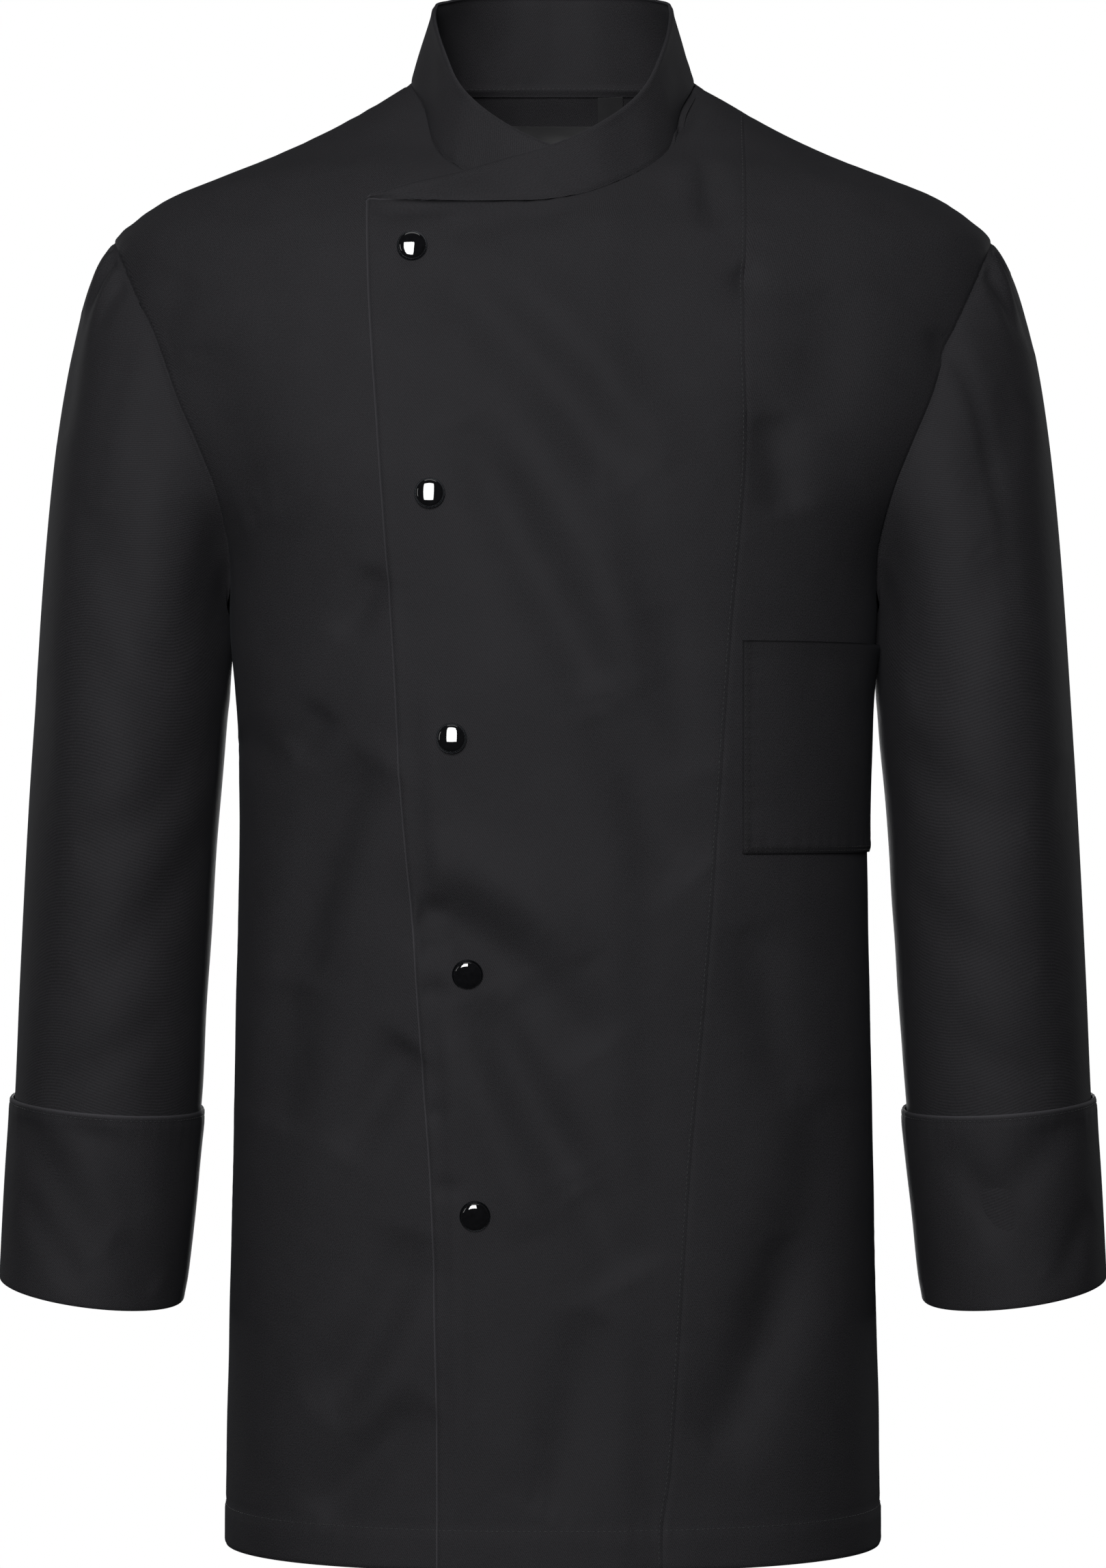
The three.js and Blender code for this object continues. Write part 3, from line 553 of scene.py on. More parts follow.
def panel_places(left, right, top, shares, above):
    """Places in the front view between two long edges, closing in on the top edge."""
    base = mix(left[:, None], right[:, None], shares[:, None])
    end = mix(left[-1], right[-1], shares[:, None])
    return base + above[:, None, None] * (top - end)


def front_levels(step):
    """For each row of a front, its share of the way up to the yoke line and past it to the top."""
    below = spread(YOKE_Z - HEM_Z, step, True, False)
    past = spread(SPANS["yoke"], 3.0, False, True)[1:]
    rise = np.concatenate([below, np.ones(len(past))])
    above = np.concatenate([np.zeros(len(below)), past])
    return rise, above


def shoulder_line(side, from_z, to_z, count=600):
    z = np.linspace(from_z, to_z, count)
    return np.stack([side * body_half(z), z], axis=1)


def neckline(side, first, last, count=40):
    """The neck seam between two of the collar's stations, in the front view."""
    at = np.linspace(first, last, count)
    return np.stack([side * station["seam_x"](at), station["seam_z"](at)], axis=1)


def by_shares(line, shares):
    """Points of a top edge at the shares of its width."""
    x = mix(line[0, 0], line[-1, 0], shares)
    order = np.argsort(line[:, 0])
    return np.stack([x, np.interp(x, line[order, 0], line[order, 1])], axis=1)


def read_along(at, run, values):
    """Each column of values, known at distances along a line, read at other distances."""
    return np.stack([np.interp(at, run, column) for column in values.T], axis=1)


def along(line, shares, values=None):
    """Points at the shares of a line's length, or values that go with its points."""
    run = steps_between(line)
    return read_along(np.asarray(shares) * run[-1], run, line if values is None else values)


def long_edge(levels, x_at, yoke_z, end_z, side=1):
    """A front's long edge: level rows up to the yoke's height, then on to where it ends."""
    rise, above = levels
    z = mix(mix(HEM_Z, yoke_z, rise), end_z, above)
    return np.stack([side * x_at(z), z], axis=1)


def at_spread_height(x_at):
    return float(x_at(SPREAD_Z))


def round_shares(left, right, face, step, near_right=True):
    """Shares of the width between two sides at which columns stand evenly round the torso."""
    half = at_spread_height(body_half)
    angle = np.linspace(math.asin(left / half), math.asin(right / half), 2001)
    x = half * np.sin(angle)
    place, _ = torso(x, np.full_like(x, SPREAD_Z), face, 0.0)
    run = steps_between(place)
    at = spread(run[-1], step, True, near_right) * run[-1]
    return (np.interp(at, run, x) - left) / (right - left)


def laid_on_torso(places, face, lift):
    """Points and outward normals of a panel laid on the torso, and distances from its edges."""
    x, z = places[..., 0], places[..., 1]
    smooth_place, _ = torso(x, z, face, 0.0)
    distances = edge_distances(smooth_place)
    distances["rows"] = steps_between(smooth_place)
    distances["columns"] = steps_between(smooth_place.swapaxes(0, 1)).T
    place, normal = torso(x, z, face)
    return place + normal * lift(x, z)[..., None], normal, distances


def hem_relief(height, along_it, seed):
    """The turned-up hem: two layers below its line of stitches, pulled in along that line."""
    tug = wave(along_it, 9.0, 1.7 * wave(along_it, 71, seed))
    thicker = 0.5 * (1 - smoothstep(height, HEM_DEPTH - 2.0, HEM_DEPTH + 1.0))
    pucker = 0.28 * tug * np.exp(-np.abs(height - HEM_DEPTH) / 6.0)
    return thicker - 0.55 * bell(height, 1.6, HEM_DEPTH) + pucker - 0.7 * bell(height, 1.0)


def no_lift(x, z):
    return np.zeros_like(x)


def back_places(step):
    """Places of the back panel: even rows that bend up to the shoulders and the neck."""
    half = at_spread_height(side_x)
    shares = round_shares(-half, half, BACK, step)
    top = np.concatenate([
        shoulder_line(-1, SHOULDER_Z, NECK_Z),
        neckline(-1, NECK_SIDE, 0)[1:],
        neckline(1, 0, NECK_SIDE)[1:],
        shoulder_line(1, NECK_Z, SHOULDER_Z)[1:],
    ])
    rise = spread(SHOULDER_Z - HEM_Z, step)
    z = mix(HEM_Z, SHOULDER_Z, rise)
    side = np.stack([side_x(z), z], axis=1)
    return panel_places(side * (-1, 1), side, by_shares(top, shares), shares, rise ** 2)


def right_front_places(step):
    levels = front_levels(step)
    left = long_edge(levels, side_x, ARMHOLE_YOKE_Z, SHOULDER_Z, -1)
    right = long_edge(levels, underlap_x, YOKE_Z, UNDERLAP_TOP_Z)
    top = np.concatenate([
        shoulder_line(-1, SHOULDER_Z, NECK_Z),
        neckline(-1, NECK_SIDE, UNDERLAP_TOP)[1:],
        [(COLLAR["seam_x"][NECK_MIDDLE], COLLAR["seam_z"][NECK_MIDDLE]), right[-1]],
    ])
    shares = round_shares(-at_spread_height(side_x), UNDERLAP_X, FRONT, step, False)
    return panel_places(left, right, along(top, shares), shares, levels[1])


def left_front_places(step):
    levels = front_levels(step)
    end_z = DIVIDING_SEAM["z"][-1]
    left = long_edge(levels, overlap_x, YOKE_Z, OVERLAP_TOP_Z)
    right = long_edge(levels, dividing_x, YOKE_Z, end_z)
    top = np.concatenate([
        neckline(1, COLLAR_TIP, NECK_SIDE, 160),
        shoulder_line(1, NECK_Z, shoulder_z(dividing_x(end_z)))[1:],
    ])
    top[-1] = right[-1]
    shares = spread(SPANS["left_front"], step)
    return panel_places(left, right, along(top, shares), shares, levels[1])


def left_side_places(step):
    levels = front_levels(step)
    end_z = DIVIDING_SEAM["z"][-1]
    left = long_edge(levels, dividing_x, YOKE_Z, end_z)
    right = long_edge(levels, side_x, ARMHOLE_YOKE_Z, SHOULDER_Z)
    top = shoulder_line(1, shoulder_z(dividing_x(end_z)), SHOULDER_Z)
    top[0] = left[-1]
    shares = round_shares(SIDE_FRONT_X, at_spread_height(side_x), FRONT, step)
    return panel_places(left, right, by_shares(top, shares), shares, levels[1])


def panel_surface(places, face, lift, hem_seed, seams):
    """A hemmed panel on the torso, with a seam for each (edge, seed, roll, pucker)."""
    points, normal, away = laid_on_torso(places, face, lift)
    relief = hem_relief(away["bottom"], away["columns"], hem_seed)
    for edge, *seam in seams:
        line = away["columns" if edge == "top" else "rows"]
        relief += seam_relief(away[edge], line, *seam)
    worn = None
    if face == FRONT:
        away["past_collar"] = smoothstep(np.abs(points[..., 0]), *COLLAR_SPREAD_X)
        # Painted highlight along the fronts' top seam, past the collar.
        worn = 0.7 * away["past_collar"] * bell(away["top"], 1.0)
    return Surface(points + normal * relief[..., None], normal, away, False, worn)


def build_back(step):
    seams = (("left", 2.0), ("right", 3.0), ("top", 4.0))
    return panel_surface(back_places(step), BACK, no_lift, 1.0, seams)


def build_right_front(step):
    seams = (("left", 6.0, 0.5, 0.15), ("top", 7.0))
    return panel_surface(right_front_places(step), FRONT, no_lift, 5.0, seams)


def build_left_side(step):
    seams = (("left", 10.0, 0.25, 0.25), ("right", 13.0, 0.5, 0.15), ("top", 14.0))
    return panel_surface(left_side_places(step), FRONT, overlap_lift, 12.0, seams)


def build_left_front(step):
    """The overlap: its front edge is turned in, a little proud and rounded, with a painted highlight
    along it.
    """
    seams = (("right", 10.0, 0.25, 0.25), ("top", 11.0))
    sheet = panel_surface(left_front_places(step), FRONT, overlap_lift, 8.0, seams)
    away, rows = sheet.away, sheet.away["rows"]
    uneven = 0.35 * wave(rows, 47, 9.0) + 0.25 * wave(rows, 21)
    edge = (0.55 + 0.3 * uneven) * bell(away["left"], 3.2, 3.0) - 1.1 * bell(away["left"], 1.1)
    # Painted highlight along the front edge and the hem's fold; painted shade by the dividing seam
    # and under the collar.
    worn = sheet.worn + bell(away["left"], 0.9) + 0.3 * bell(away["bottom"], 0.8)
    worn = worn - 0.35 * bell(away["right"], 0.5)
    worn = worn - 0.8 * (1 - away["past_collar"]) * bell(away["top"], 1.6)
    return sheet._replace(points=sheet.points + sheet.outward * edge[..., None], worn=worn)


def collar_frame(index, side, height):
    """Place and outward normal on the collar, at stations and heights between its seam and top."""
    seam_x, seam_z = side * station["seam_x"](index), station["seam_z"](index)
    front_place, front_normal = torso(seam_x, seam_z, FRONT, FOLDS_AT_COLLAR)
    back_place, back_normal = torso(seam_x, seam_z, BACK, FOLDS_AT_COLLAR)
    is_front = (index > NECK_SIDE)[:, None]
    seam = np.where(is_front, front_place, back_place)
    turn = smoothstep(index, NECK_SIDE - 0.5, NECK_SIDE + 0.5)[:, None]
    normal = unit(mix(back_normal, front_normal, turn))
    top = [side * station["top_x"](index), station["top_y"](index), station["top_z"](index)]
    top = np.stack(top, axis=1)
    up = unit(top - seam)
    line = np.gradient(seam, axis=0)
    across = unit(np.cross(line, up))
    across = across * np.sign(np.einsum("ij,ij->i", across, normal))[:, None]
    share = height[:, None, None]
    blended = unit(mix(normal, across, np.minimum(1, 2 * share)))
    return mix(seam, top, share), blended


def build_collar(step):
    """A stand collar of doubled cloth, whose upper end crosses over the wearer's right front."""
    rows = spread(SPANS["collar"], step)
    under = np.linspace(NECK_MIDDLE, 0, 90)[:-1]
    over = np.linspace(0, COLLAR_TIP, 150)
    index = np.concatenate([under, over])
    side = np.concatenate([-np.ones(len(under)), np.ones(len(over))])
    points, normal = collar_frame(index, side, rows)
    seam_x, seam_z = station["seam_x"](index), station["seam_z"](index)
    lift = np.where(side > 0, overlap_lift(seam_x, seam_z), 0.0) * (index > NECK_SIDE)
    points = points + normal * lift[:, None]
    away = edge_distances(points)
    run = steps_between(points.swapaxes(0, 1)).T
    relief = seam_relief(away["bottom"], run, 15.0, 0.6, 0.3)
    top_edge = 0.35 * bell(away["top"], 2.0, 2.6) - 0.8 * bell(away["top"], 0.9)
    tip_edge = -0.7 * bell(away["right"], 0.9) - 0.7 * bell(away["left"], 0.9)
    relief += top_edge + tip_edge + 0.8 * ripple(run, away["bottom"], 16, 90.0, 30.0)
    # Painted highlight along the collar tip's edge and its top edge.
    worn = 0.5 * bell(away["right"], 0.8) + 0.2 * bell(away["top"], 0.8)
    return Surface(points + normal * relief[..., None], normal, away, False, worn)


def build_neck_tape():
    """The tape that covers the neck seam inside, round the back from one side to the other."""
    half = np.linspace(0, 6.5, 70)
    index = np.concatenate([half[::-1], half[1:]])
    side = np.concatenate([-np.ones(len(half)), np.ones(len(half) - 1)])
    heights = np.array([-4.0, -3.2, -2.4, -1.6, -0.8, 0.0, 0.5, 1.0, 1.6])
    seam, normal = collar_frame(index, side, np.array([0.0, 1.0]))
    up = unit(seam[1] - seam[0])
    line = np.gradient(seam[0], axis=0)
    down = np.cross(line, normal[0])
    down = unit(down) * -np.sign(np.einsum("ij,ij->i", down, up))[:, None]
    rise = heights[:, None, None]
    points = seam[0] + np.where(rise > 0, up * rise, down * -rise)
    behind = 1.75 + 0.7 * bell(heights, 2.2)
    points = points - normal[0] * behind[:, None, None]
    outward = np.broadcast_to(normal[0], points.shape)
    away = {"bottom": np.broadcast_to((heights - heights[0])[:, None], points.shape[:2])}
    return Surface(points, outward, away)


def ring_points(side, z, angle, offset=0.0):
    """Points of a sleeve's rings. The angle is 0 on the outer side and 90 degrees at the front."""
    roll, pitch = np.radians(ring["roll"](z)), np.radians(ring["pitch"](z))
    wide = (ring["half_width"](z) + offset) * np.cos(angle)
    deep = (ring["half_depth"](z) + offset) * np.sin(angle)
    return np.stack([
        side * (ring["x"](z) + wide * np.cos(roll)),
        ring["y"](z) - deep * np.cos(pitch),
        z + wide * np.sin(roll) - deep * np.sin(pitch),
    ], axis=-1)


def armhole_loop(side, angle):
    """Points of the armhole's edge and the torso's normals there, from the shoulder tip round."""
    z = mix(UNDERARM_Z, SHOULDER_Z, (1 + np.cos(angle)) / 2)
    x = side * armhole_x(z)
    front_place, front_normal = torso(x, z, FRONT)
    back_place, back_normal = torso(x, z, BACK)
    share = (0.5 + 0.5 * np.clip(np.sin(angle) / math.sin(math.radians(9)), -1, 1))[:, None]
    return mix(back_place, front_place, share), unit(mix(back_normal, front_normal, share))


def sleeve_start(side, angle):
    """Direction in which a sleeve leaves the armhole at each angle."""
    top, under, flank = np.maximum(0, np.cos(angle)), np.maximum(0, -np.cos(angle)), np.sin(angle)
    return unit(np.stack([
        side * (0.75 * top + under + 0.85 * np.abs(flank)),
        -0.3 * flank,
        -0.66 * top - 0.1 * under - 0.4 * np.abs(flank),
    ], axis=-1))


def sleeve_base(side, angle, head_rows, arm_levels):
    """The smooth sleeve: a head that leaves the armhole, then rings down the arm."""
    loop, _ = armhole_loop(side, angle)
    start = sleeve_start(side, angle)
    to = ring_points(side, np.full_like(angle, SLEEVE_HEAD_Z), angle)
    below = ring_points(side, np.full_like(angle, SLEEVE_HEAD_Z - 10), angle)
    reach = np.linalg.norm(to - loop, axis=1)[:, None]
    end = unit(below - to)
    t = (head_rows ** HEAD_EASE)[:, None, None]
    rise = t * t * (3 - 2 * t)
    head = (
        mix(loop, to, rise)
        + start * (t * (1 - t) ** 2 * 0.46) * reach
        + end * (t * t * (t - 1) * 0.97) * reach
    )
    arm = ring_points(side, arm_levels[:, None], angle[None, :])
    return np.concatenate([head, arm])


def round_normals(points, side):
    """Outward normals of rings of points."""
    up = np.gradient(points, axis=0)
    around = np.roll(points, -1, axis=1) - np.roll(points, 1, axis=1)
    return unit(np.cross(around, up)) * side


# The pleats at each sleeve's head: angle and half width in degrees, and height.
PLEATS = {
    -1: ((12, 2.6, -3.4), (18, 2.6, 3.0), (25, 2.8, -3.6), (32, 2.8, 2.6), (39, 3.0, -2.6)),
    1: ((16, 3.0, -3.4), (24, 3.2, 3.2), (33, 3.4, -3.4), (42, 3.6, 1.4)),
}


def gathers(angle, distance, side):
    """Fullness eased into the sleeve's head: small pleats that fade down the sleeve."""
    degrees = np.degrees(angle)
    centred = np.where(degrees > 180, degrees - 360, degrees)
    total = np.zeros_like(distance)
    fade = bell(distance, 30) * smoothstep(distance, 0.8, 7)
    for middle, width, height in PLEATS[side]:
        total += height * bell(centred, width, middle) * fade
    easing = np.sin(np.radians(centred) * 26) * bell(centred, 75)
    return total + 0.3 * easing * np.exp(-distance / 9)


def build_sleeve(side, step):
    angle = np.linspace(0, 2 * np.pi, 1 + int(SPANS["sleeve_round"] / step))[:-1]
    head_rows = spread(SPANS["sleeve_head"], step, True, False)[:-1] ** (1 / HEAD_EASE)
    rows = int(SPANS["arm"] / step)
    arm_levels = np.linspace(SLEEVE_HEAD_Z, CUFF_BOTTOM_Z + LAYER, rows)
    base = sleeve_base(side, angle, head_rows, arm_levels)
    normal = round_normals(base, side)
    _, edge_normal = armhole_loop(side, angle)
    run = steps_between(base)
    near = np.exp(-run / 2.0)[..., None]
    normal = unit(normal * (1 - near) + edge_normal * near)
    degrees = np.degrees(np.broadcast_to(angle, run.shape))
    round_arm = np.radians(degrees) * SLEEVE_UNROLL_RADIUS
    height = base[..., 2]
    relief = -0.5 * press(round_arm, height, unrolled(SLEEVE_FOLDS[side]))
    round_it = steps_between(base.swapaxes(0, 1)).T
    relief += seam_relief(run, round_it, 20.0 + side, 0.6, 0.15)
    relief += gathers(np.broadcast_to(angle, run.shape), run, side)
    loose = ripple(round_arm, height, 21 + side) * np.sin(np.radians(degrees) / 2) ** 2
    relief += 0.9 * loose * smoothstep(run, 4, 40)
    crease = bell(height, SLEEVE_BULGE["high"], SLEEVE_BULGE["z"])
    crease = crease * bell(degrees, SLEEVE_BULGE["wide"], SLEEVE_BULGE["angle"])
    relief += SLEEVE_BULGE["out"] * crease
    return Surface(base + normal * relief[..., None], normal, {"top": run}, True)


def build_cuff(side, step):
    """A cuff: the sleeve's end turned back outside, from its upper edge round its lower fold."""
    levels = mix(CUFF_TOP_Z, CUFF_BOTTOM_Z + 2.2, spread(SPANS["cuff"], step, True, False))
    offsets = CUFF_OUTER - 0.9 * bell(CUFF_TOP_Z - levels, 1.1)
    turn = np.radians(np.linspace(12, 168, 12))
    fold_z = CUFF_BOTTOM_Z + 2.2 - 2.2 * np.sin(turn)
    fold_offset = (CUFF_OUTER - 1.4) / 2 + (CUFF_OUTER + 1.4) / 2 * np.cos(turn)
    z = np.concatenate([levels, fold_z])
    offset = np.concatenate([offsets, fold_offset])
    angle = np.linspace(0, 2 * np.pi, 1 + int(SPANS["cuff_round"] / step))[:-1]
    points = ring_points(side, z[:, None], angle[None, :], offset[:, None])
    outward = points - ring_points(side, z[:, None], angle[None, :], offset[:, None] - 10.0)
    normal = unit(outward)
    depth = (CUFF_TOP_Z - z)[:, None]
    round_arm = angle[None, :] * SLEEVE_UNROLL_RADIUS
    fade = np.exp(-np.abs(depth - 8) / 10)
    line = -0.35 * bell(depth, 0.9, 3.2)
    tug = 0.22 * wave(round_arm, 9.5, side) * fade
    flat = np.broadcast_arrays(round_arm, z[:, None])
    loose = 0.8 * ripple(*flat, 30 + side, 120.0, 40.0)
    body = smoothstep(depth, 0, 14) * smoothstep(z[:, None], CUFF_BOTTOM_Z, CUFF_BOTTOM_Z + 14)
    creased = -press(*flat, unrolled(CUFF_FOLDS[side]))
    relief = line + tug + (creased + loose * np.sin(angle / 2)[None, :] ** 2) * body
    facing = normal.copy()
    facing[len(levels):] = 0
    lowest = smoothstep(-z[:, None], -CUFF_BOTTOM_Z - 2, -CUFF_BOTTOM_Z)
    # Painted highlight along the cuff's stitched upper edge and its lower fold.
    worn = 0.8 * bell(depth, 0.9) + 0.5 * lowest + 0 * round_arm
    away = {"top": steps_between(points)}
    return Surface(points + normal * relief[..., None], facing, away, True, worn)


def pocket_places(step):
    """Places of the patch pocket, from its front edge round to the side seam."""
    rise = spread(POCKET["top"] - POCKET["bottom"], step)
    z = mix(POCKET["bottom"], POCKET["top"], rise)[:, None]
    end = np.arccos(POCKET["side_y"] / body_depth[FRONT](z))
    start = np.arcsin(POCKET["left"] / body_half(z))
    across = spread(SPANS["pocket"], step)[None, :]
    return np.stack([body_half(z) * np.sin(mix(start, end, across)), z + 0 * across], axis=-1)


def build_pocket(step):
    places = pocket_places(step)
    offset = POCKET["gap"] + POCKET["wall"]
    points, normal, away = laid_on_torso(places, FRONT, lambda x, z: np.full_like(x, offset))
    low = -0.75 * bell(away["left"], 1.1) - 0.75 * bell(away["bottom"], 1.1)
    lip = -0.5 * bell(away["top"], 0.9) + 0.25 * bell(away["top"], 4, 4)
    sewn = 0.0
    for edge, line in (("left", "rows"), ("bottom", "columns")):
        tug = wave(away[line], 9.0, 1.5 * wave(away[line], 53))
        sewn = sewn + 0.2 * tug * np.exp(-np.abs(away[edge] - 5) / 5)
        for stitch in (1.6, 6.6):
            sewn = sewn - 0.25 * bell(away[edge], 0.8, stitch)
    loose = 0.7 * smoothstep(away["left"], 6, 40) * smoothstep(away["bottom"], 6, 40)
    uneven = ripple(away["columns"], away["rows"], 40, 80.0, 30.0)
    relief = low + lip + sewn + loose * (0.6 + uneven)
    # Painted shade along the pocket's sewn sides and under its top opening.
    sides = np.minimum(away["left"], away["bottom"])
    worn = -0.8 * bell(sides, 0.7) - 0.35 * bell(sides, 1.6, 2.4)
    worn = worn - 0.9 * bell(away["top"], 0.8) - 0.3 * np.exp(-away["top"] / 6)
    return Surface(points + normal * relief[..., None], normal, away, False, worn)


def build_label(size, step, offset=0.0):
    """A label of thin smooth tape that lies on the inside of the back."""
    def between(low, high):
        return np.linspace(low, high, max(8, int((high - low) / step)))

    across, up = between(size["left"], size["right"]), between(size["bottom"], size["top"])
    places = np.stack(np.meshgrid(across, up), axis=-1)
    behind = LABEL_BEHIND + offset
    points, normal, away = laid_on_torso(places, BACK, lambda x, z: np.full_like(x, -behind))
    sag = 0.5 * ripple(places[..., 0], places[..., 1], 50, 40.0, 15.0)
    sag = sag * smoothstep(away["top"], 0, 10)
    return Surface(points - normal * (0.3 + np.abs(sag))[..., None], -normal, away)


def line_beside(surface, edge, distance, first=0.0, last=1.0, count=600):
    """A line on a sheet at a distance from one of its edges, and the normals along it."""
    away, points, outward = surface.away[edge], surface.points, surface.outward
    if edge in ("left", "right"):
        away, points, outward = away.T, points.swapaxes(0, 1), outward.swapaxes(0, 1)
    if edge in ("top", "right") and not surface.closed:
        away, points, outward = away[::-1], points[::-1], outward[::-1]
    row = np.clip((away < distance).sum(axis=0) - 1, 0, len(away) - 2)
    col = np.arange(away.shape[1])
    low, high = away[row, col], away[row + 1, col]
    t = np.clip((distance - low) / np.maximum(high - low, 1e-9), 0, 1)[:, None]
    line = mix(points[row, col], points[row + 1, col], t)
    normal = unit(mix(outward[row, col], outward[row + 1, col], t))
    if surface.closed:
        line, normal = np.concatenate([line, line[:1]]), np.concatenate([normal, normal[:1]])
    shares = np.linspace(first, last, count)
    return along(line, shares), unit(along(line, shares, normal))


STITCH_SHARES = np.array([-0.5, -0.36, 0.0, 0.36, 0.5])
STITCH_RADII = np.array([0.35, 0.85, 1.0, 0.85, 0.35])
STITCH_SINK = np.array([-0.6, -0.1, 0.25, -0.1, -0.6])
STITCH_SIDES = 6


def stitch_mesh(name, rows, pitch, length, radius):
    """Rows of stitches as short threads that dip into the cloth at both ends."""
    vertices, count = [], 0
    for line, normal in rows:
        run = steps_between(line)
        middles = np.arange(pitch / 2, run[-1] - pitch / 2, pitch)
        at = (middles[:, None] + STITCH_SHARES * length).ravel()
        out = unit(read_along(at, run, normal))
        heading = read_along(at + 0.3, run, line) - read_along(at - 0.3, run, line)
        side = unit(np.cross(heading, out))
        sink = np.tile(STITCH_SINK, len(middles)) * radius
        centre = read_along(at, run, line) + out * sink[:, None]
        turn = np.linspace(0, 2 * np.pi, STITCH_SIDES, endpoint=False)
        size = np.tile(STITCH_RADII, len(middles))[:, None, None] * radius
        loop = side[:, None] * np.cos(turn)[:, None] + out[:, None] * np.sin(turn)[:, None]
        vertices.append((centre[:, None] + loop * size).reshape(-1, 3))
        count += len(middles)
    rings = len(STITCH_SHARES)
    one = grid_faces(rings, STITCH_SIDES, True)[:, [0, 3, 2, 1]].tolist()
    start = list(range(STITCH_SIDES))
    end = [k + (rings - 1) * STITCH_SIDES for k in reversed(start)]
    each = rings * STITCH_SIDES
    faces = [[k + i * each for k in face] for i in range(count) for face in (*one, start, end)]
    mesh = bpy.data.meshes.new(name)
    mesh.from_pydata((np.concatenate(vertices) * MM).tolist(), [], faces)
    piece = bpy.data.objects.new(name, mesh)
    bpy.context.scene.collection.objects.link(piece)
    make_active(piece)
    bpy.ops.object.mode_set(mode="EDIT")
    bpy.ops.mesh.select_all(action="SELECT")
    bpy.ops.mesh.normals_make_consistent(inside=False)
    bpy.ops.object.mode_set(mode="OBJECT")
    bpy.ops.object.shade_smooth()
    return piece


def on_torso_line(face, start, end, offset, count=60):
    """A straight line of the front view laid on the torso, with its normals."""
    shares = np.linspace(0, 1, count)[:, None]
    places = mix(np.array(start, dtype=float), np.array(end, dtype=float), shares)
    place, normal = torso(places[:, 0], places[:, 1], face)
    return place + normal * offset, normal


def sewn_rows(part, surface):
    """The rows of stitches that show on each piece, as lines with normals."""
    if part == "back" or part.startswith("front"):
        rows = [line_beside(surface, "bottom", HEM_DEPTH, 0.004, 0.996)]
        if part == "front_left":
            rows.append(line_beside(surface, "right", 1.9, 0.003, 0.985))
        return rows
    if part == "neck_tape":
        line, normal = line_beside(surface, "bottom", 4.7, 0.04, 0.96)
        return [(line - normal * 0.75, -normal)]
    if part.startswith("cuff"):
        return [line_beside(surface, "top", 3.2)]
    if part == "pocket":
        sides = [(edge, inset) for edge in ("left", "bottom") for inset in (1.4, 3.4)]
        rows = [line_beside(surface, edge, inset, 0.01, 0.99) for edge, inset in sides]
        height = POCKET["gap"] + POCKET["wall"] + 0.1
        top = POCKET["top"]
        for x, drop, count in POCKET_BARS:
            rows.append(on_torso_line(FRONT, (x, top - 1.5), (x, top - drop), height, count))
        return rows
    return []


def set_sockets(shader, **sockets):
    for socket, value in sockets.items():
        shader.inputs[socket.replace("_", " ")].default_value = value


def node(tree, kind, **sockets):
    """A shader node with its own sockets set."""
    made = tree.nodes.new(kind)
    set_sockets(made, **sockets)
    return made


def new_finish(name):
    """A material with a Principled surface, its node tree and that surface."""
    finish = bpy.data.materials.new(name)
    finish.use_nodes = True
    return finish, finish.node_tree, finish.node_tree.nodes["Principled BSDF"]


def object_place(tree):
    return tree.nodes.new("ShaderNodeTexCoord").outputs["Object"]


def cloth_place(tree):
    """Places along the cloth in metres, from its own unrolled map."""
    cloth = tree.nodes.new("ShaderNodeUVMap")
    cloth.uv_map = "cloth"
    return cloth.outputs["UV"]


def math_node(tree, operation, first, second):
    made = tree.nodes.new("ShaderNodeMath")
    made.operation = operation
    for socket, value in zip(made.inputs, (first, second)):
        if isinstance(value, bpy.types.NodeSocket):
            tree.links.new(value, socket)
        else:
            socket.default_value = value
    return made.outputs[0]


def ramp(tree, source, stops):
    """A colour ramp between stops of (place, colour)."""
    made = tree.nodes.new("ShaderNodeValToRGB")
    tree.links.new(source, made.inputs["Fac"])
    elements = made.color_ramp.elements
    elements[0].position, elements[0].color = stops[0][0], (*stops[0][1], 1)
    elements[1].position, elements[1].color = stops[-1][0], (*stops[-1][1], 1)
    for place, colour in stops[1:-1]:
        elements.new(place).color = (*colour, 1)
    return made.outputs["Color"]


def weighted(tree, *parts):
    """The sum of sockets, each times its weight."""
    terms = [math_node(tree, "MULTIPLY", socket, weight) for socket, weight in parts]
    total = terms[0]
    for term in terms[1:]:
        total = math_node(tree, "ADD", total, term)
    return total


def scaled(colour, amount):
    return tuple(min(1.0, c * amount) for c in colour)


def mixed(tree, share, first, colour):
    """A socket's colour that turns into another colour by a share."""
    made = node(tree, "ShaderNodeMixRGB", Color2=(*colour, 1))
    tree.links.new(share, made.inputs["Fac"])
    tree.links.new(first, made.inputs["Color1"])
    return made.outputs["Color"]


def bump(tree, height, distance, strength, below=None):
    made = node(tree, "ShaderNodeBump", Distance=distance, Strength=strength)
    tree.links.new(height, made.inputs["Height"])
    if below:
        tree.links.new(below, made.inputs["Normal"])
    return made.outputs["Normal"]


def noise(tree, place, scale, detail, roughness=0.5):
    made = node(tree, "ShaderNodeTexNoise", Scale=scale, Detail=detail, Roughness=roughness)
    tree.links.new(place, made.inputs["Vector"])
    return made.outputs["Fac"]


def stripes(tree, place, pitch, direction="X", **sockets):
    """Even stripes at a pitch in metres."""
    made = node(tree, "ShaderNodeTexWave", Scale=math.pi / 10 / pitch, **sockets)
    made.bands_direction = direction
    tree.links.new(place, made.inputs["Vector"])
    return made.outputs["Fac"]


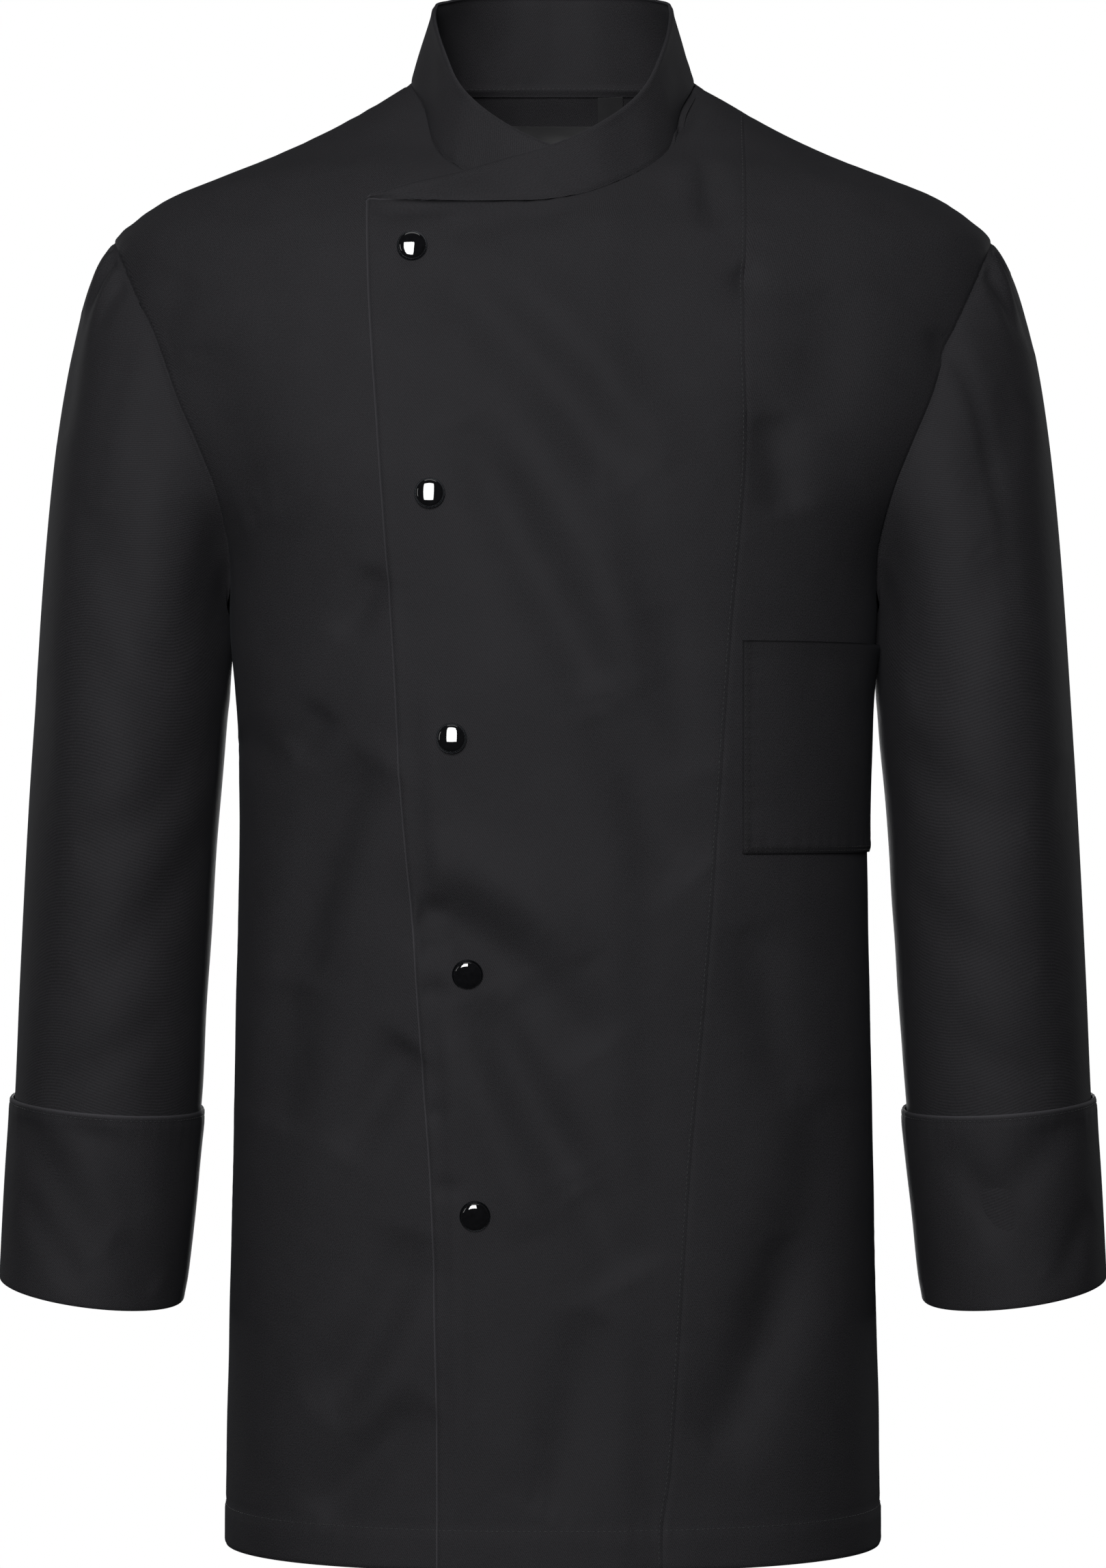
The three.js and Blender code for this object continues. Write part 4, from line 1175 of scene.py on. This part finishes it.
def twill_finish(name, colour, pitch, angle, sheen):
    """Black cotton twill: diagonal ribs, uneven yarn, faint mottling, and painted highlights and
    painted shade along its edges.
    """
    finish, tree, surface = new_finish(name)
    cloth, place = cloth_place(tree), object_place(tree)
    turn = node(tree, "ShaderNodeMapping", Rotation=(0, 0, angle))
    tree.links.new(cloth, turn.inputs["Vector"])
    along_ribs = turn.outputs["Vector"]
    ribs = stripes(tree, along_ribs, pitch, Distortion=0.6, Detail=2.0, Detail_Scale=3.0)
    yarn = noise(tree, cloth, 1500.0, 2.0)
    mottle = noise(tree, place, 42.0, 4.0, 0.6)
    wide = noise(tree, place, 5.0, 2.0)
    crumple = noise(tree, place, 75.0, 3.0, 0.55)
    shade = weighted(tree, (ribs, 0.12), (yarn, 0.62), (mottle, 0.1), (wide, 0.08))
    stops = [(0.26, scaled(colour, 0.45)), (0.46, colour), (0.68, scaled(colour, 1.7))]
    # Painted light: a point attribute lightens the colour to a painted highlight where it is above
    # 0, and darkens it to painted shade where it is below 0.
    painted_light_node = tree.nodes.new("ShaderNodeAttribute")
    painted_light_node.attribute_name = "worn"
    worn = painted_light_node.outputs["Fac"]
    painted_highlight_share = math_node(tree, "MULTIPLY", worn, 0.7)
    painted_shade_share = math_node(tree, "MAXIMUM", math_node(tree, "MULTIPLY", worn, -1.0), 0.0)
    with_painted_highlight = mixed(tree, painted_highlight_share, ramp(tree, shade, stops), scaled(colour, 4.0))
    tree.links.new(mixed(tree, painted_shade_share, with_painted_highlight, scaled(colour, 0.15)), surface.inputs["Base Color"])
    rough = math_node(tree, "ADD", 0.54, weighted(tree, (mottle, 0.04), (yarn, 0.32)))
    tree.links.new(rough, surface.inputs["Roughness"])
    set_sockets(
        surface, Specular_Tint=(0.95, 0.94, 1.0, 1), Specular_IOR_Level=0.19, Sheen_Weight=sheen,
        Sheen_Roughness=0.45, Sheen_Tint=(0.62, 0.68, 0.76, 1),
    )
    fine = bump(tree, yarn, 0.0001, 0.35, bump(tree, crumple, 0.001, 0.25))
    tree.links.new(bump(tree, ribs, 0.00008, 0.15, fine), surface.inputs["Normal"])
    return finish


def grained_finish(name, colour, grain, shades, relief, **sockets):
    """A finish whose colour and relief both follow one grain, from its darkest to its palest."""
    finish, tree, surface = new_finish(name)
    texture = grain(tree)
    (low, darkest), (high, palest) = shades
    tint = ramp(tree, texture, [(low, scaled(colour, darkest)), (high, scaled(colour, palest))])
    tree.links.new(tint, surface.inputs["Base Color"])
    tree.links.new(bump(tree, texture, *relief), surface.inputs["Normal"])
    set_sockets(surface, **sockets)
    return texture, tree, surface


def thread_finish(name, colour):
    """Spun sewing thread with its twist."""
    grained_finish(
        name, colour, lambda tree: noise(tree, object_place(tree), 2500.0, 1.0),
        ((0.3, 0.7), (0.7, 1.3)), (0.0001, 0.4), Roughness=0.55, Sheen_Weight=0.1,
    )


def stud_finish(name, colour):
    """Glossy black moulded plastic with the faintest ripple and dust."""
    haze, tree, surface = grained_finish(
        name, colour, lambda tree: noise(tree, object_place(tree), 420.0, 3.0),
        ((0.3, 0.8), (0.7, 1.25)), (0.00008, 0.12), Specular_IOR_Level=0.3, Coat_Weight=1.0,
        Coat_IOR=1.9, Coat_Roughness=0.012,
    )
    rough = math_node(tree, "ADD", 0.02, math_node(tree, "MULTIPLY", haze, 0.03))
    tree.links.new(rough, surface.inputs["Roughness"])


def rim_finish(name, colour):
    """The stud's rim: dark blue-grey metal, finely brushed."""
    grained_finish(
        name, colour, lambda tree: noise(tree, object_place(tree), 900.0, 4.0),
        ((0.3, 0.75), (0.7, 1.2)), (0.00005, 0.3), Metallic=0.75, Roughness=0.38,
    )


def tape_finish(name, colour):
    """A bare woven label: smooth fine threads across and along."""
    def woven(tree):
        place = cloth_place(tree)
        threads = [stripes(tree, place, 0.0004, way, Distortion=0.3) for way in ("X", "Y")]
        return math_node(tree, "MULTIPLY", *threads)

    grained_finish(
        name, colour, woven, ((0.1, 0.8), (0.9, 1.15)), (0.00008, 0.4), Roughness=0.5,
        Sheen_Weight=0.15,
    )


def select_faces(piece, wanted):
    """In edit mode, selects the faces for which wanted(centre, normal) holds."""
    bpy.ops.mesh.select_all(action="DESELECT")
    bpy.ops.object.mode_set(mode="OBJECT")
    for face in piece.data.polygons:
        face.select = wanted(face.center, face.normal)
    bpy.ops.object.mode_set(mode="EDIT")


# The dome of a stud in rings: share of the stud's radius, and share of its height.
STUD_DOME = (
    (0.900, 0.58), (0.885, 0.66), (0.86, 0.73), (0.82, 0.79), (0.76, 0.84), (0.68, 0.882),
    (0.59, 0.914), (0.49, 0.942), (0.39, 0.964), (0.29, 0.981), (0.19, 0.992), (0.09, 0.998),
)


def model_stud(radius, height, cap_finish, metal_finish):
    """One press stud at the origin, its axis up: a rimmed base and a polished dome."""
    base = 0.30 * height
    clear_scene_selection()
    bpy.ops.mesh.primitive_cylinder_add(
        vertices=56, radius=radius, depth=base, location=(0, 0, base / 2)
    )
    rim = bpy.context.object
    bpy.ops.object.mode_set(mode="EDIT")
    bpy.ops.mesh.select_mode(type="FACE")
    select_faces(rim, lambda centre, normal: normal.z > 0.9)
    bpy.ops.mesh.inset(thickness=0.09 * radius)
    bpy.ops.transform.translate(value=(0, 0, -0.25 * base))
    bpy.ops.mesh.select_all(action="DESELECT")
    bpy.ops.object.mode_set(mode="OBJECT")
    rounding = rim.modifiers.new("rounding", "BEVEL")
    rounding.width = 0.03 * radius
    rounding.segments = 3
    rounding.limit_method = "ANGLE"
    bpy.ops.object.modifier_apply(modifier=rounding.name)
    rim.data.materials.append(metal_finish)

    clear_scene_selection()
    bpy.ops.mesh.primitive_cylinder_add(
        vertices=64, radius=0.91 * radius, depth=0.5 * base, location=(0, 0, 0.95 * base)
    )
    cap = bpy.context.object
    bpy.ops.object.transform_apply(location=True, rotation=False, scale=False)
    bpy.ops.object.mode_set(mode="EDIT")
    select_faces(cap, lambda centre, normal: normal.z > 0.9)
    below, level = 0.91, 1.2 * base
    for share, rise in STUD_DOME:
        lift = (0, 0, rise * height - level)
        bpy.ops.mesh.extrude_region_move(TRANSFORM_OT_translate={"value": lift})
        bpy.ops.transform.resize(value=(share / below, share / below, 1))
        below, level = share, rise * height
    bpy.ops.object.mode_set(mode="OBJECT")
    cap.data.materials.append(cap_finish)
    clear_scene_selection()
    for piece in (cap, rim):
        piece.select_set(True)
    bpy.context.view_layer.objects.active = cap
    bpy.ops.object.transform_apply(location=True, rotation=True, scale=True)
    bpy.ops.object.join()
    bpy.ops.object.shade_smooth_by_angle(angle=math.radians(40))
    return cap


def stud_place(x, z, across, up):
    """Where a stud sits on the overlap, as a matrix in metres whose Z axis is the stud's own."""
    place, normal = torso(np.array([x]), np.array([z]), FRONT)
    lean = Matrix.Rotation(math.radians(across), 3, "Z")
    lean = lean @ Matrix.Rotation(-math.radians(up), 3, "X")
    out = lean @ Vector(normal[0])
    turn = Vector((0, 0, 1)).rotation_difference(out).to_matrix().to_4x4()
    return Matrix.Translation(Vector((place[0] + normal[0] * STUD_SEAT) * MM)) @ turn


def stitching(name, part, surface, thread):
    """The rows of stitches that show on a piece, if it has any."""
    sizes = bpy.context.scene.jacket_sizes
    rows = sewn_rows(part, surface)
    if not rows:
        return []
    pitch, length, radius = sizes.stitch_pitch, sizes.stitch_length, sizes.thread_diameter / 2
    made = stitch_mesh(name + "_stitches", rows, pitch / MM, length / MM, radius / MM)
    return [dress(made, None, finishes()[thread])]


def cloth_piece(
    part, name, surface, cloth="black twill", thread="black thread", wall=None,
    others=(),
):
    """One piece of cloth in its node's place, with its stitches."""
    thickness = bpy.context.scene.jacket_sizes.cloth_thickness if wall is None else wall * MM
    piece = add_wall(cloth_mesh(name, surface), thickness)
    dress(piece, part, finishes()[cloth])
    going_with = [*others, *stitching(name, part, surface, thread)]


def cloth_step():
    """The step between the points of the cloth's grid, in millimetres."""
    return bpy.context.scene.jacket_sizes.cloth_step / MM


def finishes():
    """The jacket's finishes, made once from the colours of the panel."""
    colours = bpy.context.scene.jacket_colours
    if "black twill" not in bpy.data.materials:
        pitch = colours.twill_pitch
        for name, degrees in (("black twill", -32), ("black twill on the bias", 38)):
            twill_finish(name, colours.cloth, pitch, math.radians(degrees), colours.bloom)
        thread_finish("black thread", colours.thread)
        # A darker copy of the black thread: painted shade on the pocket's stitches.
        thread_finish("darker thread", scaled(colours.thread, 0.15))
        stud_finish("black stud", colours.stud)
        rim_finish("stud rim", colours.rim)
        tape_finish("label tape", colours.label)
    return bpy.data.materials


class JacketSizes(bpy.types.PropertyGroup):
    """Sizes that a user would change."""

    cloth_step: FloatProperty(
        name="Cloth step", description="Distance between the points of the cloth's grid",
        default=0.0038, min=0.002, max=0.02, unit="LENGTH", subtype="DISTANCE",
    )
    cloth_thickness: FloatProperty(
        name="Cloth thickness", description="Thickness of the twill, two layers where it is turned",
        default=0.0013, min=0.0004, max=0.0015, unit="LENGTH", subtype="DISTANCE",
    )
    stud_diameter: FloatProperty(
        name="Stud diameter", description="Diameter of a press stud over its rim",
        default=0.0166, min=0.01, max=0.02, unit="LENGTH", subtype="DISTANCE",
    )
    stud_height: FloatProperty(
        name="Stud height", description="Height of a press stud off the cloth",
        default=0.0043, min=0.002, max=0.008, unit="LENGTH", subtype="DISTANCE",
    )
    stitch_pitch: FloatProperty(
        name="Stitch pitch", description="Distance from one stitch to the next",
        default=0.0029, min=0.001, max=0.008, unit="LENGTH", subtype="DISTANCE",
    )
    stitch_length: FloatProperty(
        name="Stitch length", description="Length of thread that shows in one stitch",
        default=0.0022, min=0.0005, max=0.006, unit="LENGTH", subtype="DISTANCE",
    )
    thread_diameter: FloatProperty(
        name="Thread diameter", description="Diameter of the sewing thread",
        default=0.00042, min=0.0001, max=0.001, unit="LENGTH", subtype="DISTANCE",
    )


class JacketColours(bpy.types.PropertyGroup):
    """Colours and the grain of the cloth."""

    cloth: FloatVectorProperty(
        name="Cloth", description="Colour of the twill",
        default=(0.0262, 0.0255, 0.0280), min=0, max=1, size=3, subtype="COLOR",
    )
    thread: FloatVectorProperty(
        name="Thread", description="Colour of the sewing thread",
        default=(0.03, 0.0315, 0.034), min=0, max=1, size=3, subtype="COLOR",
    )
    stud: FloatVectorProperty(
        name="Stud", description="Colour of the studs' polished domes",
        default=(0.006, 0.006, 0.007), min=0, max=1, size=3, subtype="COLOR",
    )
    rim: FloatVectorProperty(
        name="Stud rim", description="Colour of the metal round each dome",
        default=(0.006, 0.007, 0.009), min=0, max=1, size=3, subtype="COLOR",
    )
    label: FloatVectorProperty(
        name="Label", description="Colour of the bare labels inside the neck",
        default=(0.03, 0.03, 0.032), min=0, max=1, size=3, subtype="COLOR",
    )
    twill_pitch: FloatProperty(
        name="Twill pitch", description="Distance from one rib of the twill to the next",
        default=0.001, min=0.0003, max=0.003, unit="LENGTH", subtype="DISTANCE",
    )
    bloom: FloatProperty(
        name="Bloom", description="Strength of the cloth's soft sheen",
        default=0.02, min=0, max=1, subtype="FACTOR",
    )


class StudioSettings(bpy.types.PropertyGroup):
    """The camera and the soft lights."""

    camera_distance: FloatProperty(
        name="Camera distance", description="From the camera to the middle of the jacket",
        default=2.8, min=1, max=10, unit="LENGTH", subtype="DISTANCE",
    )
    camera_height: FloatProperty(
        name="Camera height", description="Height of the camera, from the neck's base",
        default=-0.395, min=-2, max=2, unit="LENGTH", subtype="DISTANCE",
    )
    frame_height: FloatProperty(
        name="Frame height", description="Height that the picture shows at the jacket's middle",
        default=0.884, min=0.2, max=3, unit="LENGTH", subtype="DISTANCE",
    )
    front_light: FloatProperty(
        name="Front light", description="Power of the large softbox at the front left, in watts",
        default=60, min=0, max=1000,
    )
    side_light: FloatProperty(
        name="Side light", description="Power of the softbox at the viewer's left side, in watts",
        default=4, min=0, max=1000,
    )
    back_light: FloatProperty(
        name="Back light", description="Power of the softbox behind the jacket, in watts",
        default=55, min=0, max=1000,
    )
    far_light: FloatProperty(
        name="Far lights", description="Power of each softbox behind and to a side, in watts",
        default=8, min=0, max=1000,
    )
    top_light: FloatProperty(
        name="Top light", description="Power of the softbox overhead, in watts",
        default=5, min=0, max=1000,
    )
    surround: FloatProperty(
        name="Surround", description="Brightness of the room round the studio",
        default=0.012, min=0, max=5,
    )


class JACKET_OT_back(bpy.types.Operator):
    """Lays the back panel, from its hem to the shoulders and the neck"""

    bl_idname = "jacket.back"
    bl_label = "Back"

    def execute(self, context):
        cloth_piece("back", "back_panel", build_back(cloth_step()))
        return {"FINISHED"}


class JACKET_OT_fronts(bpy.types.Operator):
    """Lays the right front, the left front that overlaps it, and the left side front"""

    bl_idname = "jacket.fronts"
    bl_label = "Fronts"

    def execute(self, context):
        for part, build in (
            ("front_right", build_right_front),
            ("front_left", build_left_front),
            ("front_left_side", build_left_side),
        ):
            cloth_piece(part, part + "_panel", build(cloth_step()))
        return {"FINISHED"}


class JACKET_OT_collar(bpy.types.Operator):
    """Stands the collar on the neck seam, its end crossing over in front"""

    bl_idname = "jacket.collar"
    bl_label = "Collar"

    def execute(self, context):
        tape = build_neck_tape()
        cover = add_wall(cloth_mesh("neck_tape", tape), 0.7 * MM)
        dress(cover, None, finishes()["black twill"])
        inside = [cover, *stitching("neck_tape", "neck_tape", tape, "black thread")]
        band, cloth = build_collar(0.75 * cloth_step()), "black twill on the bias"
        cloth_piece("collar", "collar_band", band, cloth, wall=1.5, others=inside)
        return {"FINISHED"}


class JACKET_OT_sleeves(bpy.types.Operator):
    """Sets both sleeves into their armholes"""

    bl_idname = "jacket.sleeves"
    bl_label = "Sleeves"

    def execute(self, context):
        for part, side in (("sleeve_right", -1), ("sleeve_left", 1)):
            cloth_piece(part, part + "_tube", build_sleeve(side, cloth_step()))
        return {"FINISHED"}


class JACKET_OT_cuffs(bpy.types.Operator):
    """Turns each sleeve's end back as a cuff, stitched below its upper edge"""

    bl_idname = "jacket.cuffs"
    bl_label = "Cuffs"

    def execute(self, context):
        for part, side in (("cuff_right", -1), ("cuff_left", 1)):
            cloth_piece(part, part + "_band", build_cuff(side, 0.8 * cloth_step()))
        return {"FINISHED"}


class JACKET_OT_pocket(bpy.types.Operator):
    """Sews the patch pocket on the wearer's left side, with its rows of stitches"""

    bl_idname = "jacket.pocket"
    bl_label = "Pocket"

    def execute(self, context):
        patch = build_pocket(0.6 * cloth_step())
        # The pocket's stitches use the black thread darkened as painted shade.
        cloth_piece("pocket", "pocket_patch", patch, thread="darker thread", wall=1.1)
        return {"FINISHED"}


class JACKET_OT_labels(bpy.types.Operator):
    """Sews the bare neck label and size tab inside the back"""

    bl_idname = "jacket.labels"
    bl_label = "Labels"

    def execute(self, context):
        for part, size, offset in (("neck_label", NECK_LABEL, 0.0), ("size_tab", SIZE_TAB, 0.2)):
            surface = build_label(size, 1.2, offset)
            cloth_piece(part, part + "_tape", surface, "label tape", wall=0.6)
        return {"FINISHED"}


class JACKET_OT_studs(bpy.types.Operator):
    """Models one press stud and sets a copy in each stud's place down the overlap"""

    bl_idname = "jacket.studs"
    bl_label = "Studs"

    def execute(self, context):
        sizes, made = context.scene.jacket_sizes, finishes()
        radius, height = sizes.stud_diameter / 2, sizes.stud_height
        model = model_stud(radius, height, made["black stud"], made["stud rim"])
        for i, place in enumerate(zip(*STUD_PLACES.values())):
            mesh = model.data.copy()
            mesh.transform(stud_place(*place))
            piece = bpy.data.objects.new(f"stud_{i + 1}_cap", mesh)
            context.scene.collection.objects.link(piece)
            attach(piece, "root")
            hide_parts(f"stud_{i + 1}")
        bpy.data.objects.remove(model)
        return {"FINISHED"}


def stage_finish():
    finish, tree, surface = new_finish("pale paper")
    shade = noise(tree, object_place(tree), 3.0, 2.0)
    tint = ramp(tree, shade, [(0.3, (0.86, 0.86, 0.86)), (0.7, (0.9, 0.9, 0.9))])
    tree.links.new(tint, surface.inputs["Base Color"])
    set_sockets(surface, Roughness=0.9, Emission_Color=(1, 1, 1, 1), Emission_Strength=0.55)
    return finish


def add_softbox(name, place, aim, width, height, power):
    light = bpy.data.lights.new(name, "AREA")
    light.shape = "RECTANGLE"
    light.size, light.size_y = width, height
    light.energy = power
    lamp = bpy.data.objects.new(name, light)
    lamp.location = place
    lamp.visible_camera = False
    lamp.rotation_euler = (Vector(aim) - Vector(place)).to_track_quat("-Z", "Y").to_euler()
    bpy.context.scene.collection.objects.link(lamp)
    return lamp


class JACKET_OT_stage(bpy.types.Operator):
    """Sets the camera, the pale floor and the soft lights all round"""

    bl_idname = "jacket.stage"
    bl_label = "Stage"

    def execute(self, context):
        studio = context.scene.jacket_studio
        camera = bpy.data.cameras.new("camera")
        camera.sensor_fit = "VERTICAL"
        camera.sensor_height = 36
        camera.lens = 36 * studio.camera_distance / studio.frame_height
        seen = bpy.data.objects.new("camera", camera)
        seen.location = (0, -studio.camera_distance, studio.camera_height)
        seen.rotation_euler = (math.radians(90), 0, 0)
        context.scene.collection.objects.link(seen)
        context.scene.camera = seen

        clear_scene_selection()
        bpy.ops.mesh.primitive_plane_add(size=2.8, location=(0, 0, FLOOR_Z * MM))
        floor = bpy.context.object
        floor.name = "pale_floor"
        floor.data.materials.append(stage_finish())
        floor.visible_glossy = False
        floor.visible_diffuse = False

        for name, place, width, height, power in (
            ("front_softbox", (-0.35, -3.0, 0.5), 1.05, 1.9, studio.front_light),
            ("side_softbox", (-2.3, -1.9, 0.3), 0.6, 1.4, studio.side_light),
            ("back_softbox", (0, 3.0, -0.36), 1.0, 1.8, studio.back_light),
            ("far_left_softbox", (-2.2, 2.2, 0.3), 0.8, 1.6, studio.far_light),
            ("far_right_softbox", (2.2, 2.2, 0.3), 0.8, 1.6, studio.far_light),
        ):
            add_softbox(name, place, (0, 0, -0.36), width, height, power)
        add_softbox("top_softbox", (0, -0.5, 1.9), (0, 0, -0.2), 1.8, 1.2, studio.top_light)
        world = bpy.data.worlds.new("room")
        context.scene.world = world
        world.use_nodes = True
        tree = world.node_tree
        dim = tree.nodes["Background"]
        set_sockets(dim, Color=(0.92, 0.96, 1.0, 1), Strength=studio.surround)
        paper = node(tree, "ShaderNodeBackground", Color=(1, 1, 1, 1))
        seen_as = tree.nodes.new("ShaderNodeMixShader")
        rays = tree.nodes.new("ShaderNodeLightPath")
        tree.links.new(rays.outputs["Is Camera Ray"], seen_as.inputs["Fac"])
        tree.links.new(dim.outputs["Background"], seen_as.inputs[1])
        tree.links.new(paper.outputs["Background"], seen_as.inputs[2])
        tree.links.new(seen_as.outputs["Shader"], tree.nodes["World Output"].inputs["Surface"])
        context.scene.view_settings.view_transform = "Standard"
        return {"FINISHED"}


class JACKET_PT_panel(bpy.types.Panel):
    """Lists the jacket's sizes, colours and pieces"""

    bl_idname = "JACKET_PT_panel"
    bl_label = "Chef Jacket"
    bl_space_type = "VIEW_3D"
    bl_region_type = "UI"
    bl_category = "Jacket"

    def draw(self, context):
        for group, _ in SETTINGS:
            settings, column = getattr(context.scene, group), self.layout.column()
            for name in settings.__annotations__:
                column.prop(settings, name)
        for operator in OPERATORS:
            self.layout.operator(operator.bl_idname)


SETTINGS = (
    ("jacket_sizes", JacketSizes),
    ("jacket_colours", JacketColours),
    ("jacket_studio", StudioSettings),
)
OPERATORS = (
    JACKET_OT_stage,
    JACKET_OT_back,
    JACKET_OT_fronts,
    JACKET_OT_collar,
    JACKET_OT_sleeves,
    JACKET_OT_cuffs,
    JACKET_OT_pocket,
    JACKET_OT_labels,
    JACKET_OT_studs,
)


def register():
    for name, settings in SETTINGS:
        bpy.utils.register_class(settings)
        setattr(bpy.types.Scene, name, PointerProperty(type=settings))
    for made in (*OPERATORS, JACKET_PT_panel):
        bpy.utils.register_class(made)


def unregister():
    for made in (JACKET_PT_panel, *reversed(OPERATORS)):
        bpy.utils.unregister_class(made)
    for name, settings in reversed(SETTINGS):
        delattr(bpy.types.Scene, name)
        bpy.utils.unregister_class(settings)


def main():
    register()
    bpy.ops.jacket.stage()
    bpy.ops.jacket.back()
    bpy.ops.jacket.fronts()
    bpy.ops.jacket.collar()
    bpy.ops.jacket.sleeves()
    bpy.ops.jacket.cuffs()
    bpy.ops.jacket.pocket()
    bpy.ops.jacket.labels()
    bpy.ops.jacket.studs()


if __name__ == "__main__":
    main()
